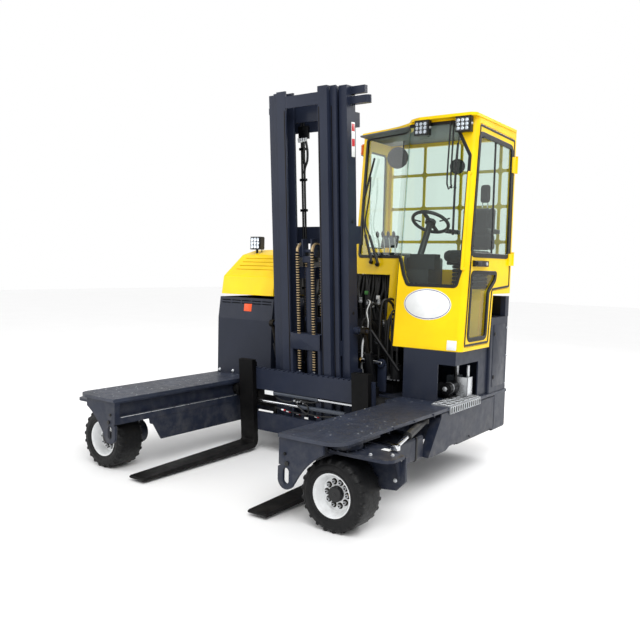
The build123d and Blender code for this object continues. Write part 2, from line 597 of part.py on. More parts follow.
# Rear wheel on its yoke: the same wheel, a plate under the frame, an arm behind the wheel
# that carries the axle stub and the drive motor
yoke_y = aft(REAR_WHEEL_BACK)
rear_y = yoke_y - REAR_WHEEL_OFFSET
keep("tyre_rear", Pos(0, rear_y, TYRE_RADIUS) * front_tyre)
keep("rim_rear", Pos(0, rear_y, TYRE_RADIUS) * front_rim)


def yoke():
    low, top = KNUCKLE_PLATE_TOP - KNUCKLE_PLATE, KNUCKLE_PLATE_TOP
    arm_y = rear_y + TYRE_WIDTH / 2 + 14
    body = box((-140, 140), (yoke_y - 150, arm_y + 60), (low, top))
    body += rod((0, yoke_y, top - 1), (0, yoke_y, WELL_TOP - 4), KINGPIN_RADIUS)
    body += box((-118, 118), (arm_y, arm_y + HANGER_PLATE), (TYRE_RADIUS - 110, low + 1))
    start = rear_y - TYRE_WIDTH / 2 + 16 + DISC_RECESS + 20
    body += rod((0, start, TYRE_RADIUS), (0, arm_y + 1, TYRE_RADIUS), 84)
    body += rod((0, start - 17, TYRE_RADIUS), (0, start + 1, TYRE_RADIUS), HUB_BORE - PIN_CLEARANCE)
    body += rod((0, arm_y + HANGER_PLATE - 1, TYRE_RADIUS), (0, arm_y + HANGER_PLATE + MOTOR_LENGTH,
                                                             TYRE_RADIUS),
                MOTOR_DIAMETER / 2)
    return body


keep("rear_yoke", yoke())

# Reach carriage: a crossbeam behind the mast, plates that hold the mast's pivot, roller
# plates that run in the legs' rails, and the inner rods of its two-stage cylinders
PIVOT_RADIUS = 36.0
pivot_y = aft(PIVOT_BACK)
BEAM = ((1578.0, 1630.0), (330.0, 556.0))
TILT_FOOT = (470.0, 1602.0, 610.0)     # tilt cylinder's lower pin
TILT_HEAD = (1500.0, 1100.0)           # its upper pin on the mast, upright
roller_y = (aft(1375), aft(1572))


def reach_carriage():
    body = box((-748, 748), (aft(BEAM[0][0]), aft(BEAM[0][1])), BEAM[1])
    for x in (-1, 1):
        cheek = plate_yz([(pivot_y - 70, 240), (pivot_y + 60, 240), (aft(BEAM[0][0]) + 2, BEAM[1][0]),
                          (aft(BEAM[0][0]) + 2, BEAM[1][1]), (pivot_y - 40, 400)], 396, 30)
        cheek -= rod((390, pivot_y, PIVOT_Z), (430, pivot_y, PIVOT_Z), PIVOT_RADIUS + PIN_CLEARANCE)
        runner = box((748 - 2, 766), (aft(1318), aft(BEAM[0][1])), (452, 554))
        brace = plate_xy([(700, aft(1578) + 2), (748, aft(1400)), (748, aft(1578) + 2)], 480, 40)
        rollers = [rod((764, y, 503), (HALF_OPENING + RAIL_SLOT_DEPTH - 6, y, 503),
                       ROLLER_RADIUS) for y in roller_y]
        lugs = [box((TILT_FOOT[0] + a, TILT_FOOT[0] + a + 14),
                    (aft(TILT_FOOT[1] - 24), aft(TILT_FOOT[1] + 24)),
                    (BEAM[1][1] - 1, TILT_FOOT[2] + 26)) for a in (-40, 26)]
        pin = rod((TILT_FOOT[0] - 30, aft(TILT_FOOT[1]), TILT_FOOT[2]),
                  (TILT_FOOT[0] + 30, aft(TILT_FOOT[1]), TILT_FOOT[2]), 16)
        push = rod((REACH_X, aft(BEAM[0][1]) - 1, REACH_LEVEL), (REACH_X, aft(2240), REACH_LEVEL),
                   REACH_ROD_RADIUS)
        body += side(cheek + runner + brace + rollers + lugs + pin + push, x)
    return body


keep("reach_carriage", reach_carriage())
sleeve = rod((REACH_X, aft(1650), REACH_LEVEL), (REACH_X, aft(2270), REACH_LEVEL), SLEEVE_RADIUS)
sleeve -= rod((REACH_X, aft(1649), REACH_LEVEL), (REACH_X, aft(2256), REACH_LEVEL),
              REACH_ROD_RADIUS + PIN_CLEARANCE)
keep("reach_sleeves", [side(sleeve, x) for name, x in SIDES])


# Mast: everything from here to the forks is drawn upright, then leans about the pivot
def lean(shape):
    return Pos(0, pivot_y, PIVOT_Z) * Rot(MAST_LEAN, 0, 0) * Pos(0, -pivot_y, -PIVOT_Z) * shape


def mast_y(offset):
    """Y of a place behind the inner stage's front face, mast upright."""
    return aft(MAST_FRONT_BACK + offset)


def channel(near, far, front, low, high):
    """One rail of a mast stage, open towards the middle of the mast."""
    rear = front + STAGE_DEPTH
    body = box((near, far), (mast_y(front), mast_y(rear)), (low, high))
    return body - box((near - 1, far - STAGE_WEB), (mast_y(front + STAGE_FLANGE),
                                                    mast_y(rear - STAGE_FLANGE)),
                      (low - 1, high + 1))


def both(shape):
    return [side(shape, 1), side(shape, -1)]


LIFT_X = 255.0
LIFT_OFFSET = 198.0        # lift cylinders behind the inner stage's front face
LIFT_RADIUS = 34.0
LIFT_ROD = 20.0
LIFT_BARREL = (620.0, 2700.0)
REAR_BAR = (236.0, 253.0)  # outer stage's rear cross bars
outer_front = STAGE_STEP * 2
outer_rear = outer_front + STAGE_DEPTH
rail = channel(MIDDLE_FAR + STAGE_GAP, OUTER_FAR, outer_front, MAST_FOOT, MAST_TOP - 4)
outer = Compound(both(rail)).solids()
mast_outer = outer[0] + outer[1]
for low, high in ((640, 770), (1785, 1925), (2690, 2800)):
    mast_outer += box((-OUTER_FAR, OUTER_FAR), (mast_y(REAR_BAR[0]), mast_y(REAR_BAR[1])), (low, high))
    mast_outer += both(box((312, OUTER_FAR), (mast_y(outer_rear) - 1, mast_y(REAR_BAR[1])), (low, high)))
barrel = rod((LIFT_X, mast_y(LIFT_OFFSET), LIFT_BARREL[0]), (LIFT_X, mast_y(LIFT_OFFSET), LIFT_BARREL[1]),
             LIFT_RADIUS)
barrel -= rod((LIFT_X, mast_y(LIFT_OFFSET), LIFT_BARREL[0] + 40),
              (LIFT_X, mast_y(LIFT_OFFSET), LIFT_BARREL[1] + 1),
              LIFT_ROD + PIN_CLEARANCE)
barrel += [box((LIFT_X - 20, LIFT_X + 20), (mast_y(LIFT_OFFSET + 30), mast_y(REAR_BAR[0] + 1)), span)
           for span in ((660, 750), (1800, 1910))]
barrel += rod((OUTER_FAR - 1, pivot_y, PIVOT_Z), (430, pivot_y, PIVOT_Z), PIVOT_RADIUS)
barrel += rod((OUTER_FAR - 1, aft(TILT_HEAD[0]), TILT_HEAD[1]), (496, aft(TILT_HEAD[0]), TILT_HEAD[1]), 16)
barrel += rod((OUTER_FAR - 1, aft(TILT_HEAD[0]), TILT_HEAD[1]),
              (OUTER_FAR + 40, aft(TILT_HEAD[0]), TILT_HEAD[1]), 30)
mast_outer += both(barrel)
# two lugs at the top of the cab side's rail, a short one opposite, and the lines on the cross bars
LUG_END = 504.0
LUG_RADIUS = 34.0
mast_outer += box((OUTER_FAR - 1, LUG_END), (mast_y(132), mast_y(172)), (2924, 2982))
mast_outer += box((OUTER_FAR - 1, LUG_END + 8), (mast_y(152 - LUG_RADIUS), mast_y(152 + LUG_RADIUS)),
                  (2850, 2906))
mast_outer += rod((LUG_END + 8, mast_y(152), 2850), (LUG_END + 8, mast_y(152), 2906), LUG_RADIUS)
mast_outer += box((-OUTER_FAR - 46, 1 - OUTER_FAR), (mast_y(120), mast_y(184)), (2850, 2900))
LINES = ((-176.0, 660.0, 2770.0), (-152.0, 660.0, 2770.0), (14.0, 660.0, 1900.0), (40.0, 660.0, 1900.0))
LINE_RADIUS = 9.0
for x, low, high in LINES:
    mast_outer += rod((x, mast_y(REAR_BAR[0] - 6), low), (x, mast_y(REAR_BAR[0] - 6), high), LINE_RADIUS)
keep("mast_outer", lean(mast_outer))

# Middle stage: two I rails, cross plates behind the inner stage, the lift cylinders' rods
middle_front = STAGE_STEP
middle_near = INNER_FAR + STAGE_GAP
MIDDLE_BAR = (139.0, 155.0)
post = box((middle_near, MIDDLE_FAR), (mast_y(middle_front), mast_y(middle_front + STAGE_DEPTH)),
           (MAST_FOOT + 5, MAST_TOP - 2))
web_x = ((middle_near + MIDDLE_FAR - STAGE_WEB) / 2, (middle_near + MIDDLE_FAR + STAGE_WEB) / 2)
for near, far in ((middle_near - 1, web_x[0]), (web_x[1], MIDDLE_FAR + 1)):
    post -= box((near, far), (mast_y(middle_front + STAGE_FLANGE),
                              mast_y(middle_front + STAGE_DEPTH - STAGE_FLANGE)),
                (0, MAST_TOP))
lifter = rod((LIFT_X, mast_y(LIFT_OFFSET), 720), (LIFT_X, mast_y(LIFT_OFFSET), 2866), LIFT_ROD)
lifter += box((225, 290), (mast_y(MIDDLE_BAR[0]), mast_y(LIFT_OFFSET + 30)), (2860, 2885))
mast_middle = box((-middle_near - 1, middle_near + 1), (mast_y(MIDDLE_BAR[0]), mast_y(MIDDLE_BAR[1])),
                  (2760, 2885))
for low, high in ((150, 260), (1500, 1600)):
    mast_middle += box((-middle_near - 1, middle_near + 1), (mast_y(MIDDLE_BAR[0]), mast_y(MIDDLE_BAR[1])),
                       (low, high))
pads = [box((MIDDLE_FAR - 1, MIDDLE_FAR + STAGE_GAP - FACE_GAP),
            (mast_y(middle_front + 20), mast_y(middle_front + 100)),
            (level, level + 120)) for level in (160, 900)]
mast_middle += both(post + lifter + pads)
keep("mast_middle", lean(mast_middle))

# Inner stage: two channels, a top cross bar, a foot that carries the free-lift cylinder
FREE_OFFSET = 85.0
FREE_RADIUS = 45.0
FREE_ROD = 28.0
FREE_TOP = 1600.0
SHEAVE_OFFSET = 68.0
SHEAVE_RADIUS = 54.0
SHEAVE_LEVEL = 1731.0
CHAIN_X = (65.0, 83.0)
CHAIN_THICK = 12.0
CHAIN_FOOT = 749.0
CHAIN_ANCHOR = 1185.0
mast_inner = box((-INNER_FAR + 2, INNER_FAR - 2), (mast_y(20), mast_y(100)), (MAST_FOOT + 10, MAST_FOOT + 40))
mast_inner += box((-INNER_FAR + 2, INNER_FAR - 2), (mast_y(1), mast_y(16)), (2858, 2950))
pads = [box((INNER_FAR - 1, INNER_FAR + STAGE_GAP - FACE_GAP), (mast_y(STAGE_STEP + 5), mast_y(100)),
            (level, level + 120))
        for level in (170, 900)]
mast_inner += both(channel(INNER_NEAR, INNER_FAR, 0, MAST_FOOT + 10, MAST_TOP) + pads)
mast_inner += rod((0, mast_y(FREE_OFFSET), MAST_FOOT + 39), (0, mast_y(FREE_OFFSET), FREE_TOP), FREE_RADIUS)
mast_inner += box((-92, 92), (mast_y(FREE_OFFSET + 30), mast_y(134)), (CHAIN_ANCHOR - 35, CHAIN_ANCHOR))
mast_inner -= rod((0, mast_y(FREE_OFFSET), MAST_FOOT + 80), (0, mast_y(FREE_OFFSET), FREE_TOP + 1),
                  FREE_ROD + PIN_CLEARANCE)
keep("mast_inner", lean(mast_inner))

# Free-lift head: rod, yoke, two sheaves and the chain where it lies round them
head = rod((0, mast_y(FREE_OFFSET), 860), (0, mast_y(FREE_OFFSET), 1660), FREE_ROD)
head += box((-52, 52), (mast_y(44), mast_y(122)), (1640, 1690))
head += [box((a, a + 14), (mast_y(36), mast_y(112)), (1688, 1828)) for a in (-52, 38)]
head += rod((-90, mast_y(SHEAVE_OFFSET), SHEAVE_LEVEL), (90, mast_y(SHEAVE_OFFSET), SHEAVE_LEVEL), 14)
wrap = rod((CHAIN_X[0], mast_y(SHEAVE_OFFSET), SHEAVE_LEVEL),
           (CHAIN_X[1], mast_y(SHEAVE_OFFSET), SHEAVE_LEVEL),
           SHEAVE_RADIUS + CHAIN_THICK)
wrap -= box((0, 200), (mast_y(-50), mast_y(200)), (SHEAVE_LEVEL - 200, SHEAVE_LEVEL))
wrap += rod((CHAIN_X[0] - 3, mast_y(SHEAVE_OFFSET), SHEAVE_LEVEL),
            (CHAIN_X[1] + 3, mast_y(SHEAVE_OFFSET), SHEAVE_LEVEL),
            SHEAVE_RADIUS - 0.3)
keep("lift_head", lean(head + both(wrap)))
front_fall = (SHEAVE_OFFSET - SHEAVE_RADIUS - CHAIN_THICK, SHEAVE_OFFSET - SHEAVE_RADIUS)
rear_fall = (SHEAVE_OFFSET + SHEAVE_RADIUS, SHEAVE_OFFSET + SHEAVE_RADIUS + CHAIN_THICK)
for name, fall, foot in (("lift_chain_front", front_fall, CHAIN_FOOT),
                         ("lift_chain_rear", rear_fall, CHAIN_ANCHOR)):
    run = box(CHAIN_X, (mast_y(fall[0]), mast_y(fall[1])), (foot, SHEAVE_LEVEL))
    keep(name, [lean(shape) for shape in both(run)])

# Carriage: two bars, side plates with rollers in the inner stage, positioner cylinders
BAR_FRONT = SHANK_AHEAD - FORK_THICK
PLATE_X = (128.0, 152.0)
SHIFT_TUBE = 17.0
SHIFT_ROD = 11.0
bar_y = (mast_y(-BAR_FRONT), mast_y(-BAR_FRONT + CARRIAGE_PLATE))
half = CARRIAGE_WIDTH / 2
carriage = box((-half, half), bar_y, UPPER_BAR) + box((-half, half), bar_y, LOWER_BAR)
NOTCH_PITCH = 50
carriage -= [box((x - 7, x + 7), (bar_y[0] - 1, bar_y[1] + 1), (UPPER_BAR[1] - 9, UPPER_BAR[1] + 1))
             for x in range(-11 * NOTCH_PITCH, 12 * NOTCH_PITCH, NOTCH_PITCH)]
carriage += both(box((half - 28, half), bar_y, (LOWER_BAR[1] - 1, UPPER_BAR[0] + 1)))
carriage += both(box(PLATE_X, (bar_y[1] - 1, mast_y(92)), (LOWER_BAR[0], 1067)))
carriage += box((-PLATE_X[0] - 1, PLATE_X[0] + 1), (mast_y(20), mast_y(32)), (925, 1067))
for level in (290, 980):
    carriage += both(rod((PLATE_X[1] - 1, mast_y(60), level), (INNER_FAR - STAGE_WEB - 4, mast_y(60), level),
                         39))
carriage += both(box((58, 90), (bar_y[1] - 1, mast_y(16)), (690, CHAIN_FOOT)))
shift_y = mast_y(-30)
UPPER_TUBE = (-321.0, 137.0)
LOWER_TUBE = (-59.0, 397.0)
for tube_x, level, open_end in ((UPPER_TUBE, SHIFT_UPPER, 1), (LOWER_TUBE, SHIFT_LOWER, -1)):
    carriage += rod((tube_x[0], shift_y, level), (tube_x[1], shift_y, level), SHIFT_TUBE)
    clear = (tube_x[0] + 12, tube_x[1] + 1) if open_end > 0 else (tube_x[0] - 1, tube_x[1] - 12)
    carriage -= rod((clear[0], shift_y, level), (clear[1], shift_y, level), SHIFT_ROD + PIN_CLEARANCE)
carriage += box((-415, -320), (mast_y(-46), mast_y(-13)), (SHIFT_UPPER - 18, SHIFT_UPPER + 18))
carriage += [box((x, x + 30), (shift_y + 14, bar_y[1]), (SHIFT_LOWER - 110, SHIFT_UPPER + 30)) for x in (-50,
                                                                                                         100)]
carriage += box((300, 330), (shift_y + 14, bar_y[1]), (SHIFT_LOWER - 110, SHIFT_LOWER + 10))
carriage += box((-300, -270), (shift_y + 14, bar_y[1]), (SHIFT_UPPER - 10, SHIFT_UPPER + 30))
keep("fork_carriage", lean(carriage))


# Forks: shank, heel and tapered blade in one outline, hooks over the bars, the positioner's rod
def fork_outline():
    front = mast_y(-SHANK_AHEAD)
    rear = mast_y(-BAR_FRONT) - FACE_GAP
    tip = front - FORK_LENGTH
    heel_top = FORK_HEEL + FORK_HEEL_THICK
    tip_top = heel_top + FORK_LENGTH * tan(radians(FORK_RISE))
    with BuildSketch(Plane.YZ) as profile:
        with BuildLine():
            Polyline((front, FORK_HEIGHT), (front, heel_top + 22))
            ThreePointArc((front, heel_top + 22), (front - 6, heel_top + 7), (front - 22, heel_top + 1))
            Polyline((front - 22, heel_top + 1), (tip + 14, tip_top), (tip, tip_top - 9),
                     (tip + 8, tip_top - FORK_TIP_THICK),
                     (front - 10, FORK_HEEL))
            ThreePointArc((front - 10, FORK_HEEL), (rear - 14, FORK_HEEL + 24), (rear, FORK_HEEL + 70))
            Line((rear, FORK_HEEL + 70), (rear, FORK_HEIGHT))
            Line((rear, FORK_HEIGHT), (front, FORK_HEIGHT))
        make_face()
    return profile.sketch


def fork(centre, rod_end, level):
    width = (centre - FORK_WIDTH / 2, centre + FORK_WIDTH / 2)
    body = Pos(width[0], 0, 0) * extrude(fork_outline(), FORK_WIDTH)
    rear = mast_y(-BAR_FRONT)
    hook = box((centre - 50, centre + 50), (rear - 2, bar_y[1] + 7), (UPPER_BAR[1] + 1, UPPER_BAR[1] + 40))
    hook += box((centre - 50, centre + 50), (bar_y[1] + 1, bar_y[1] + 7),
                (UPPER_BAR[1] - 26, UPPER_BAR[1] + 2))
    hook += box((centre - 40, centre + 40), (rear - 2, bar_y[1] + 7), (LOWER_BAR[0] - 34, LOWER_BAR[0] - 1))
    inner_face = width[0] if centre > 0 else width[1]
    toward = -1 if centre > 0 else 1
    ear = box(sorted((inner_face + toward * 20, inner_face - toward * 30)), (rear - 2, shift_y + 15),
              (level - 16, level + 16))
    bar = rod((inner_face + toward * 19, shift_y, level), (rod_end, shift_y, level), SHIFT_ROD)
    return body + hook + ear + bar


keep("fork_cab_side", lean(fork(FORK_SPREAD / 2, UPPER_TUBE[1] - 110, SHIFT_UPPER)))
keep("fork_engine_side", lean(fork(-FORK_SPREAD / 2, LOWER_TUBE[0] + 110, SHIFT_LOWER)))

# Tilt cylinders: from the reach carriage up to the outer stage
TILT_RADIUS = 34.0
TILT_ROD = 18.0
turn = radians(MAST_LEAN)
head_y = TILT_HEAD[0] - PIVOT_BACK
head_z = TILT_HEAD[1] - PIVOT_Z
tilt_top = Vector(TILT_FOOT[0], pivot_y + head_y * cos(turn) - head_z * sin(turn),
                  PIVOT_Z + head_y * sin(turn) + head_z * cos(turn))
tilt_low = Vector(TILT_FOOT[0], aft(TILT_FOOT[1]), TILT_FOOT[2])
tilt_axis = (tilt_top - tilt_low).normalized()
cross = Vector(1, 0, 0)
tilt_barrel = rod(tilt_low + tilt_axis * 46, tilt_low + tilt_axis * 330, TILT_RADIUS)
tilt_barrel += rod(tilt_low - cross * 22, tilt_low + cross * 22, 30) + rod(tilt_low,
                                                                           tilt_low + tilt_axis * 50, 17)
tilt_barrel -= rod(tilt_low - cross * 24, tilt_low + cross * 24, 16 + PIN_CLEARANCE)
tilt_barrel -= rod(tilt_low + tilt_axis * 70, tilt_low + tilt_axis * 331, TILT_ROD + PIN_CLEARANCE)
keep("tilt_barrels", both(tilt_barrel))
tilt_rod = rod(tilt_low + tilt_axis * 130, tilt_top - tilt_axis * 20, TILT_ROD)
tilt_rod += rod(tilt_top - cross * 20, tilt_top + cross * 20, 32)
tilt_rod -= rod(tilt_top - cross * 22, tilt_top + cross * 22, 19)
keep("tilt_rods", both(tilt_rod))

# Cab: a plan at floor level that leans back with the front panel, hollow, its lower part
# and its heel cut away
CAB_CORNER = 46.0
DOOR_THICK = 30.0
rake_run = tan(radians(CAB_RAKE))


def cab_plan(inset):
    front = aft(CAB_FRONT_BACK)
    with BuildSketch() as plan:
        with BuildLine():
            Line((CAB_LEFT * -1, aft(CAB_REAR_BACK) + 1), (CAB_SIDE, aft(CAB_REAR_BACK) + 1))
            Line((CAB_SIDE, aft(CAB_REAR_BACK) + 1), (CAB_SIDE, front + CAB_CORNER))
            ThreePointArc((CAB_SIDE, front + CAB_CORNER), (CAB_SIDE - CAB_CORNER * 0.293,
                                                           front + CAB_CORNER * 0.293),
                          (CAB_SIDE - CAB_CORNER, front))
            Line((CAB_SIDE - CAB_CORNER, front), (CAB_FOLD, front))
            ThreePointArc((CAB_FOLD, front), (CAB_FOLD - 42, front + 84), (CAB_FOLD - 88, front + 154))
            ThreePointArc((CAB_FOLD - 88, front + 154), (CAB_FOLD - 136, front + 203),
                          (CAB_FOLD - 198, front + 230))
            Line((CAB_FOLD - 198, front + 230), (CAB_LEFT * -1, front + 350))
            Line((CAB_LEFT * -1, front + 350), (CAB_LEFT * -1, aft(CAB_REAR_BACK) + 1))
        make_face()
    sketch = plan.sketch
    return offset(sketch, -inset, kind=Kind.INTERSECTION) if inset else sketch


def raked(sketch, low, high):
    """Sweep a floor-level plan up along the rake between two levels."""
    start = Pos(0, rake_run * (low - CAB_FLOOR), low) * sketch
    direction = Vector(0, rake_run, 1).normalized()
    return extrude(start, (high - low) / direction.Z, dir=tuple(direction))


def cab_solid(inset):
    body = raked(cab_plan(inset), CAB_FLOOR + inset, CAB_TOP + (1 if inset else 0))
    body -= box((-500, 2000), (aft(CAB_REAR_BACK) - inset, aft(CAB_REAR_BACK) + 500), (0, 4000))
    left, low, cut = CAB_MAIN_LEFT + inset, CAB_FLOOR + inset, CAB_FOOT_CUT - inset * 0.6
    body -= box((-500, left), (aft(1000), aft(3200)), (0, ARM_BOTTOM + inset))
    body -= plate_xz([(left - 60, low - 60), (left + cut + 60, low - 60), (left - 60, low + cut + 60)],
                     aft(1000), 2200)
    heel = [(aft(CAB_HEEL_BACK) - inset, 0), (aft(CAB_HEEL_BACK) - inset, CAB_FLOOR),
            (aft(CAB_HEEL_BACK + 42) - inset, CAB_SHELF + inset), (aft(3200), CAB_SHELF + inset), (aft(3200),
                                                                                                   0)]
    return body - plate_yz(heel, -500, 2500)


def front_window(grow):
    outline = [(44, CAB_SILL + 12), (618, CAB_SILL + 12), (650, 1690), (690, 1560), (730, 1480), (1142, 1480),
               (1170, 1600),
               (1176, 2465), (1030, 2726), (44, 2726)]
    face = make_face(Polyline(*outline, close=True).edges())
    if grow:
        face = offset(face, grow, kind=Kind.INTERSECTION)
    face = fillet(face.vertices().filter_by(lambda v: v.Y < 1500), 40)
    face = fillet(face.vertices().filter_by(lambda v: v.Y > 2400), 22)
    return Plane(origin=(0, aft(1500), 0), x_dir=(1, 0, 0), z_dir=(0, -1, 0)) * extrude(face, -800)


def door_outline(grow):
    edge = CAB_FRONT_BACK + 44 - CAB_FLOOR * rake_run
    outline = [(edge + 1018 * rake_run, 1018), (edge + 2710 * rake_run, 2710), (CAB_REAR_BACK - 26, 2694),
               (CAB_REAR_BACK - 26, CAB_SHELF + 50), (CAB_HEEL_BACK + 18, CAB_SHELF + 28),
               (CAB_HEEL_BACK - 26, 1018)]
    face = make_face(Polyline(*[(aft(y), z) for y, z in outline], close=True).edges())
    face = fillet(face.vertices(), 24)
    return offset(face, grow) if grow else face


def pane_outline(points, grow):
    face = make_face(Polyline(*[(aft(y), z) for y, z in points], close=True).edges())
    face = fillet(face.vertices(), 36)
    return offset(face, grow) if grow else face


def side_plate(face, x, thickness):
    return Plane(origin=(x, 0, 0), x_dir=(0, 1, 0), z_dir=(1, 0, 0)) * extrude(face, thickness)


UPPER_PANE = [(1716, CAB_SHELF + 300), (1800, 2644), (2478, 2630), (2478, CAB_SHELF + 300)]
LOWER_PANE = [(1704, 1062), (1740, CAB_SHELF + 176), (2230, CAB_SHELF + 176), (2210, CAB_SHELF + 108),
              (2082, CAB_SHELF + 18), (2058, 1062)]
SIDE_PANE = [(2175, 1775), (2175, 2640), (2478, 2640), (2478, 1775)]
REAR_PANE = ((50.0, 1176.0), (CAB_SHELF + 188, 2700.0))
PANE_THICK = 6.0
shell = cab_solid(0) - cab_solid(CAB_WALL) - front_window(0)
shell -= side_plate(door_outline(4), CAB_SIDE - CAB_WALL - 60, 200)
shell -= side_plate(pane_outline(SIDE_PANE, 0), -60, 100)
shell -= box(REAR_PANE[0], (aft(CAB_REAR_BACK) - 60, aft(CAB_REAR_BACK) + 20), REAR_PANE[1])
# rear guard: a plate with rounded cells outside the rear pane
GUARD_X = (30.0, 378.0, 738.0, 1098.0, 1196.0)
GUARD_Z = (REAR_PANE[1][0] - 20, 1846.0, 2148.0, 2450.0, 2720.0)
GUARD_BAR = 26.0
guard = box(REAR_PANE[0], (aft(CAB_REAR_BACK) - 8, aft(CAB_REAR_BACK)), REAR_PANE[1])
for left, right in zip(GUARD_X, GUARD_X[1:]):
    for low, high in zip(GUARD_Z, GUARD_Z[1:]):
        size = (right - left - GUARD_BAR, high - low - GUARD_BAR)
        cell = extrude(RectangleRounded(*size, 22), 40)
        guard -= Pos((left + right) / 2, aft(CAB_REAR_BACK) + 12, (low + high) / 2) * Rot(90, 0, 0) * cell
shell += guard
# grab rail beside the windscreen
RAIL_X = 1196.0
RAIL_RADIUS = 11.0
rail_ends = [Vector(RAIL_X, aft(CAB_FRONT_BACK) + rake_run * (z - CAB_FLOOR) - 30, z) for z in (1610, 2330)]
shell += rod(rail_ends[0], rail_ends[1], RAIL_RADIUS)
for end in rail_ends:
    shell += Pos(*end) * Sphere(RAIL_RADIUS)
    shell += rod(end, end + Vector(0, 42, 0), RAIL_RADIUS)
DOOR_AXIS = (CAB_SIDE + 16, CAB_REAR_BACK - 8)
DOOR_HINGES = ((2417, 2545), (CAB_SHELF + 233, CAB_SHELF + 333))
for low, high in DOOR_HINGES:
    shell += rod((DOOR_AXIS[0], aft(DOOR_AXIS[1]), low), (DOOR_AXIS[0], aft(DOOR_AXIS[1]), high + 2),
                 HINGE_PIN)
    shell += box((CAB_SIDE - 1, DOOR_AXIS[0] + 8), (aft(DOOR_AXIS[1] - 8), aft(CAB_REAR_BACK)),
                 (high + 1, high + 15))
keep("cab_shell", shell)

roof_plan = [(-14, BODY_REAR), (-14, 2078), (305, 1985), (440, 1936), (580, 1854), (668, 1740), (760, 1692),
             (1196, 1692),
             (CAB_SIDE + 6, 1726), (CAB_SIDE + 6, BODY_REAR)]
roof_face = make_face(Polyline(*[(x, aft(y)) for x, y in roof_plan], close=True).edges())
roof_face = fillet(roof_face.vertices(), 24)
keep("cab_roof", Pos(0, 0, CAB_TOP + FACE_GAP) * extrude(roof_face, ROOF_THICK))

glass_inset = 10.0
screen = raked(cab_plan(glass_inset) - cab_plan(glass_inset + PANE_THICK), ARM_BOTTOM - 80, CAB_TOP - 20)
screen = screen & front_window(-FACE_GAP)
flat_pane = screen - box((-500, CAB_FOLD - 2), (aft(1000), aft(3200)), (0, 4000))
bent_pane = screen & box((-500, CAB_FOLD - 3), (aft(1000), aft(3200)), (0, 4000))
left_pane = side_plate(pane_outline(SIDE_PANE, -FACE_GAP), CAB_LEFT * -1 + 14, PANE_THICK)
back_pane = box((REAR_PANE[0][0] + FACE_GAP, REAR_PANE[0][1] - FACE_GAP),
                (aft(CAB_REAR_BACK) - 20, aft(CAB_REAR_BACK) - 14),
                (REAR_PANE[1][0] + FACE_GAP, REAR_PANE[1][1] - FACE_GAP))
keep("cab_glass", [flat_pane, bent_pane, left_pane, back_pane])

door = side_plate(door_outline(0), CAB_SIDE - DOOR_THICK, DOOR_THICK)
door -= side_plate(pane_outline(UPPER_PANE, 0), CAB_SIDE - 60, 100)
door -= side_plate(pane_outline(LOWER_PANE, 0), CAB_SIDE - 60, 100)
door += box((CAB_SIDE - 1, CAB_SIDE + 26), (aft(1752), aft(2005)), (CAB_SHELF + 218, CAB_SHELF + 264))
for low, high in DOOR_HINGES:
    door += rod((DOOR_AXIS[0], aft(DOOR_AXIS[1]), low), (DOOR_AXIS[0], aft(DOOR_AXIS[1]), high), 10)
    door += box((CAB_SIDE - 1, CAB_SIDE + 16), (aft(DOOR_AXIS[1] - 80), aft(CAB_REAR_BACK - 28)), (low, high))
    door += box((CAB_SIDE + 8, CAB_SIDE + 16), (aft(CAB_REAR_BACK - 29), aft(DOOR_AXIS[1])), (low, high))
    door -= rod((DOOR_AXIS[0], aft(DOOR_AXIS[1]), low - 1), (DOOR_AXIS[0], aft(DOOR_AXIS[1]), high + 1),
                HINGE_PIN + PIN_CLEARANCE)
keep("cab_door", door)
panes = [side_plate(pane_outline(points, -FACE_GAP), CAB_SIDE - 18, PANE_THICK) for points in (UPPER_PANE,
                                                                                               LOWER_PANE)]
keep("door_glass", panes)

# Inside the cab: seat, steering column with its wheel
SEAT_X = 965.0
SEAT_LEVEL = CAB_SHELF + 350    # top of the cushion
seat = box((SEAT_X - 175, SEAT_X + 175), (aft(2060), aft(2430)), (SEAT_LEVEL - 100, SEAT_LEVEL))
seat += box((SEAT_X - 165, SEAT_X + 165), (aft(2390), aft(2490)), (SEAT_LEVEL - 20, SEAT_LEVEL + 390))
seat = fillet(seat.edges().filter_by(Axis.X), 18)
seat += box((SEAT_X - 12, SEAT_X + 98), (aft(2425), aft(2485)), (SEAT_LEVEL + 400, SEAT_LEVEL + 578))
seat += box((SEAT_X + 8, SEAT_X + 78), (aft(2440), aft(2470)), (SEAT_LEVEL + 380, SEAT_LEVEL + 410))
seat += box((SEAT_X - 95, SEAT_X + 95), (aft(2190), aft(2400)), (CAB_SHELF + CAB_WALL, SEAT_LEVEL - 98))
keep("seat", seat)
WHEEL_AT = (756.0, 1950.0, 1984.0)
WHEEL_RADIUS = 148.0
column_top = Vector(WHEEL_AT[0], aft(WHEEL_AT[1]), WHEEL_AT[2])
column_axis = Vector(0, 0.5, 0.866)
column = rod(column_top - column_axis * 330, column_top, 26)
column += box((692, 872), (aft(1712), aft(1850)), (CAB_FLOOR + CAB_WALL, 1600))
column += box((684, 900), (aft(1760), aft(1860)), (1598, 1720))
ring = Plane(origin=column_top, z_dir=column_axis) * Torus(WHEEL_RADIUS, 14)
spoke = Plane(origin=column_top, z_dir=column_axis) * (Box(2 * WHEEL_RADIUS, 30, 14) + Cylinder(44, 26))
keep("steering_column", column + ring + spoke)

# Lamps under the roof's edge and the beacon on the cab's left
lamps = [box((x - 62, x + 62), (aft(1698), aft(1744)), (2640, CAB_TOP)) for x in (778, 1128)]
beacon = rod((-30, aft(2140), 2600), (-30, aft(2140), 2690), 24) + box((-32, -4.3), (aft(2126), aft(2154)),
                                                                       (2590, 2610))
keep("cab_lamps", lamps + [beacon])

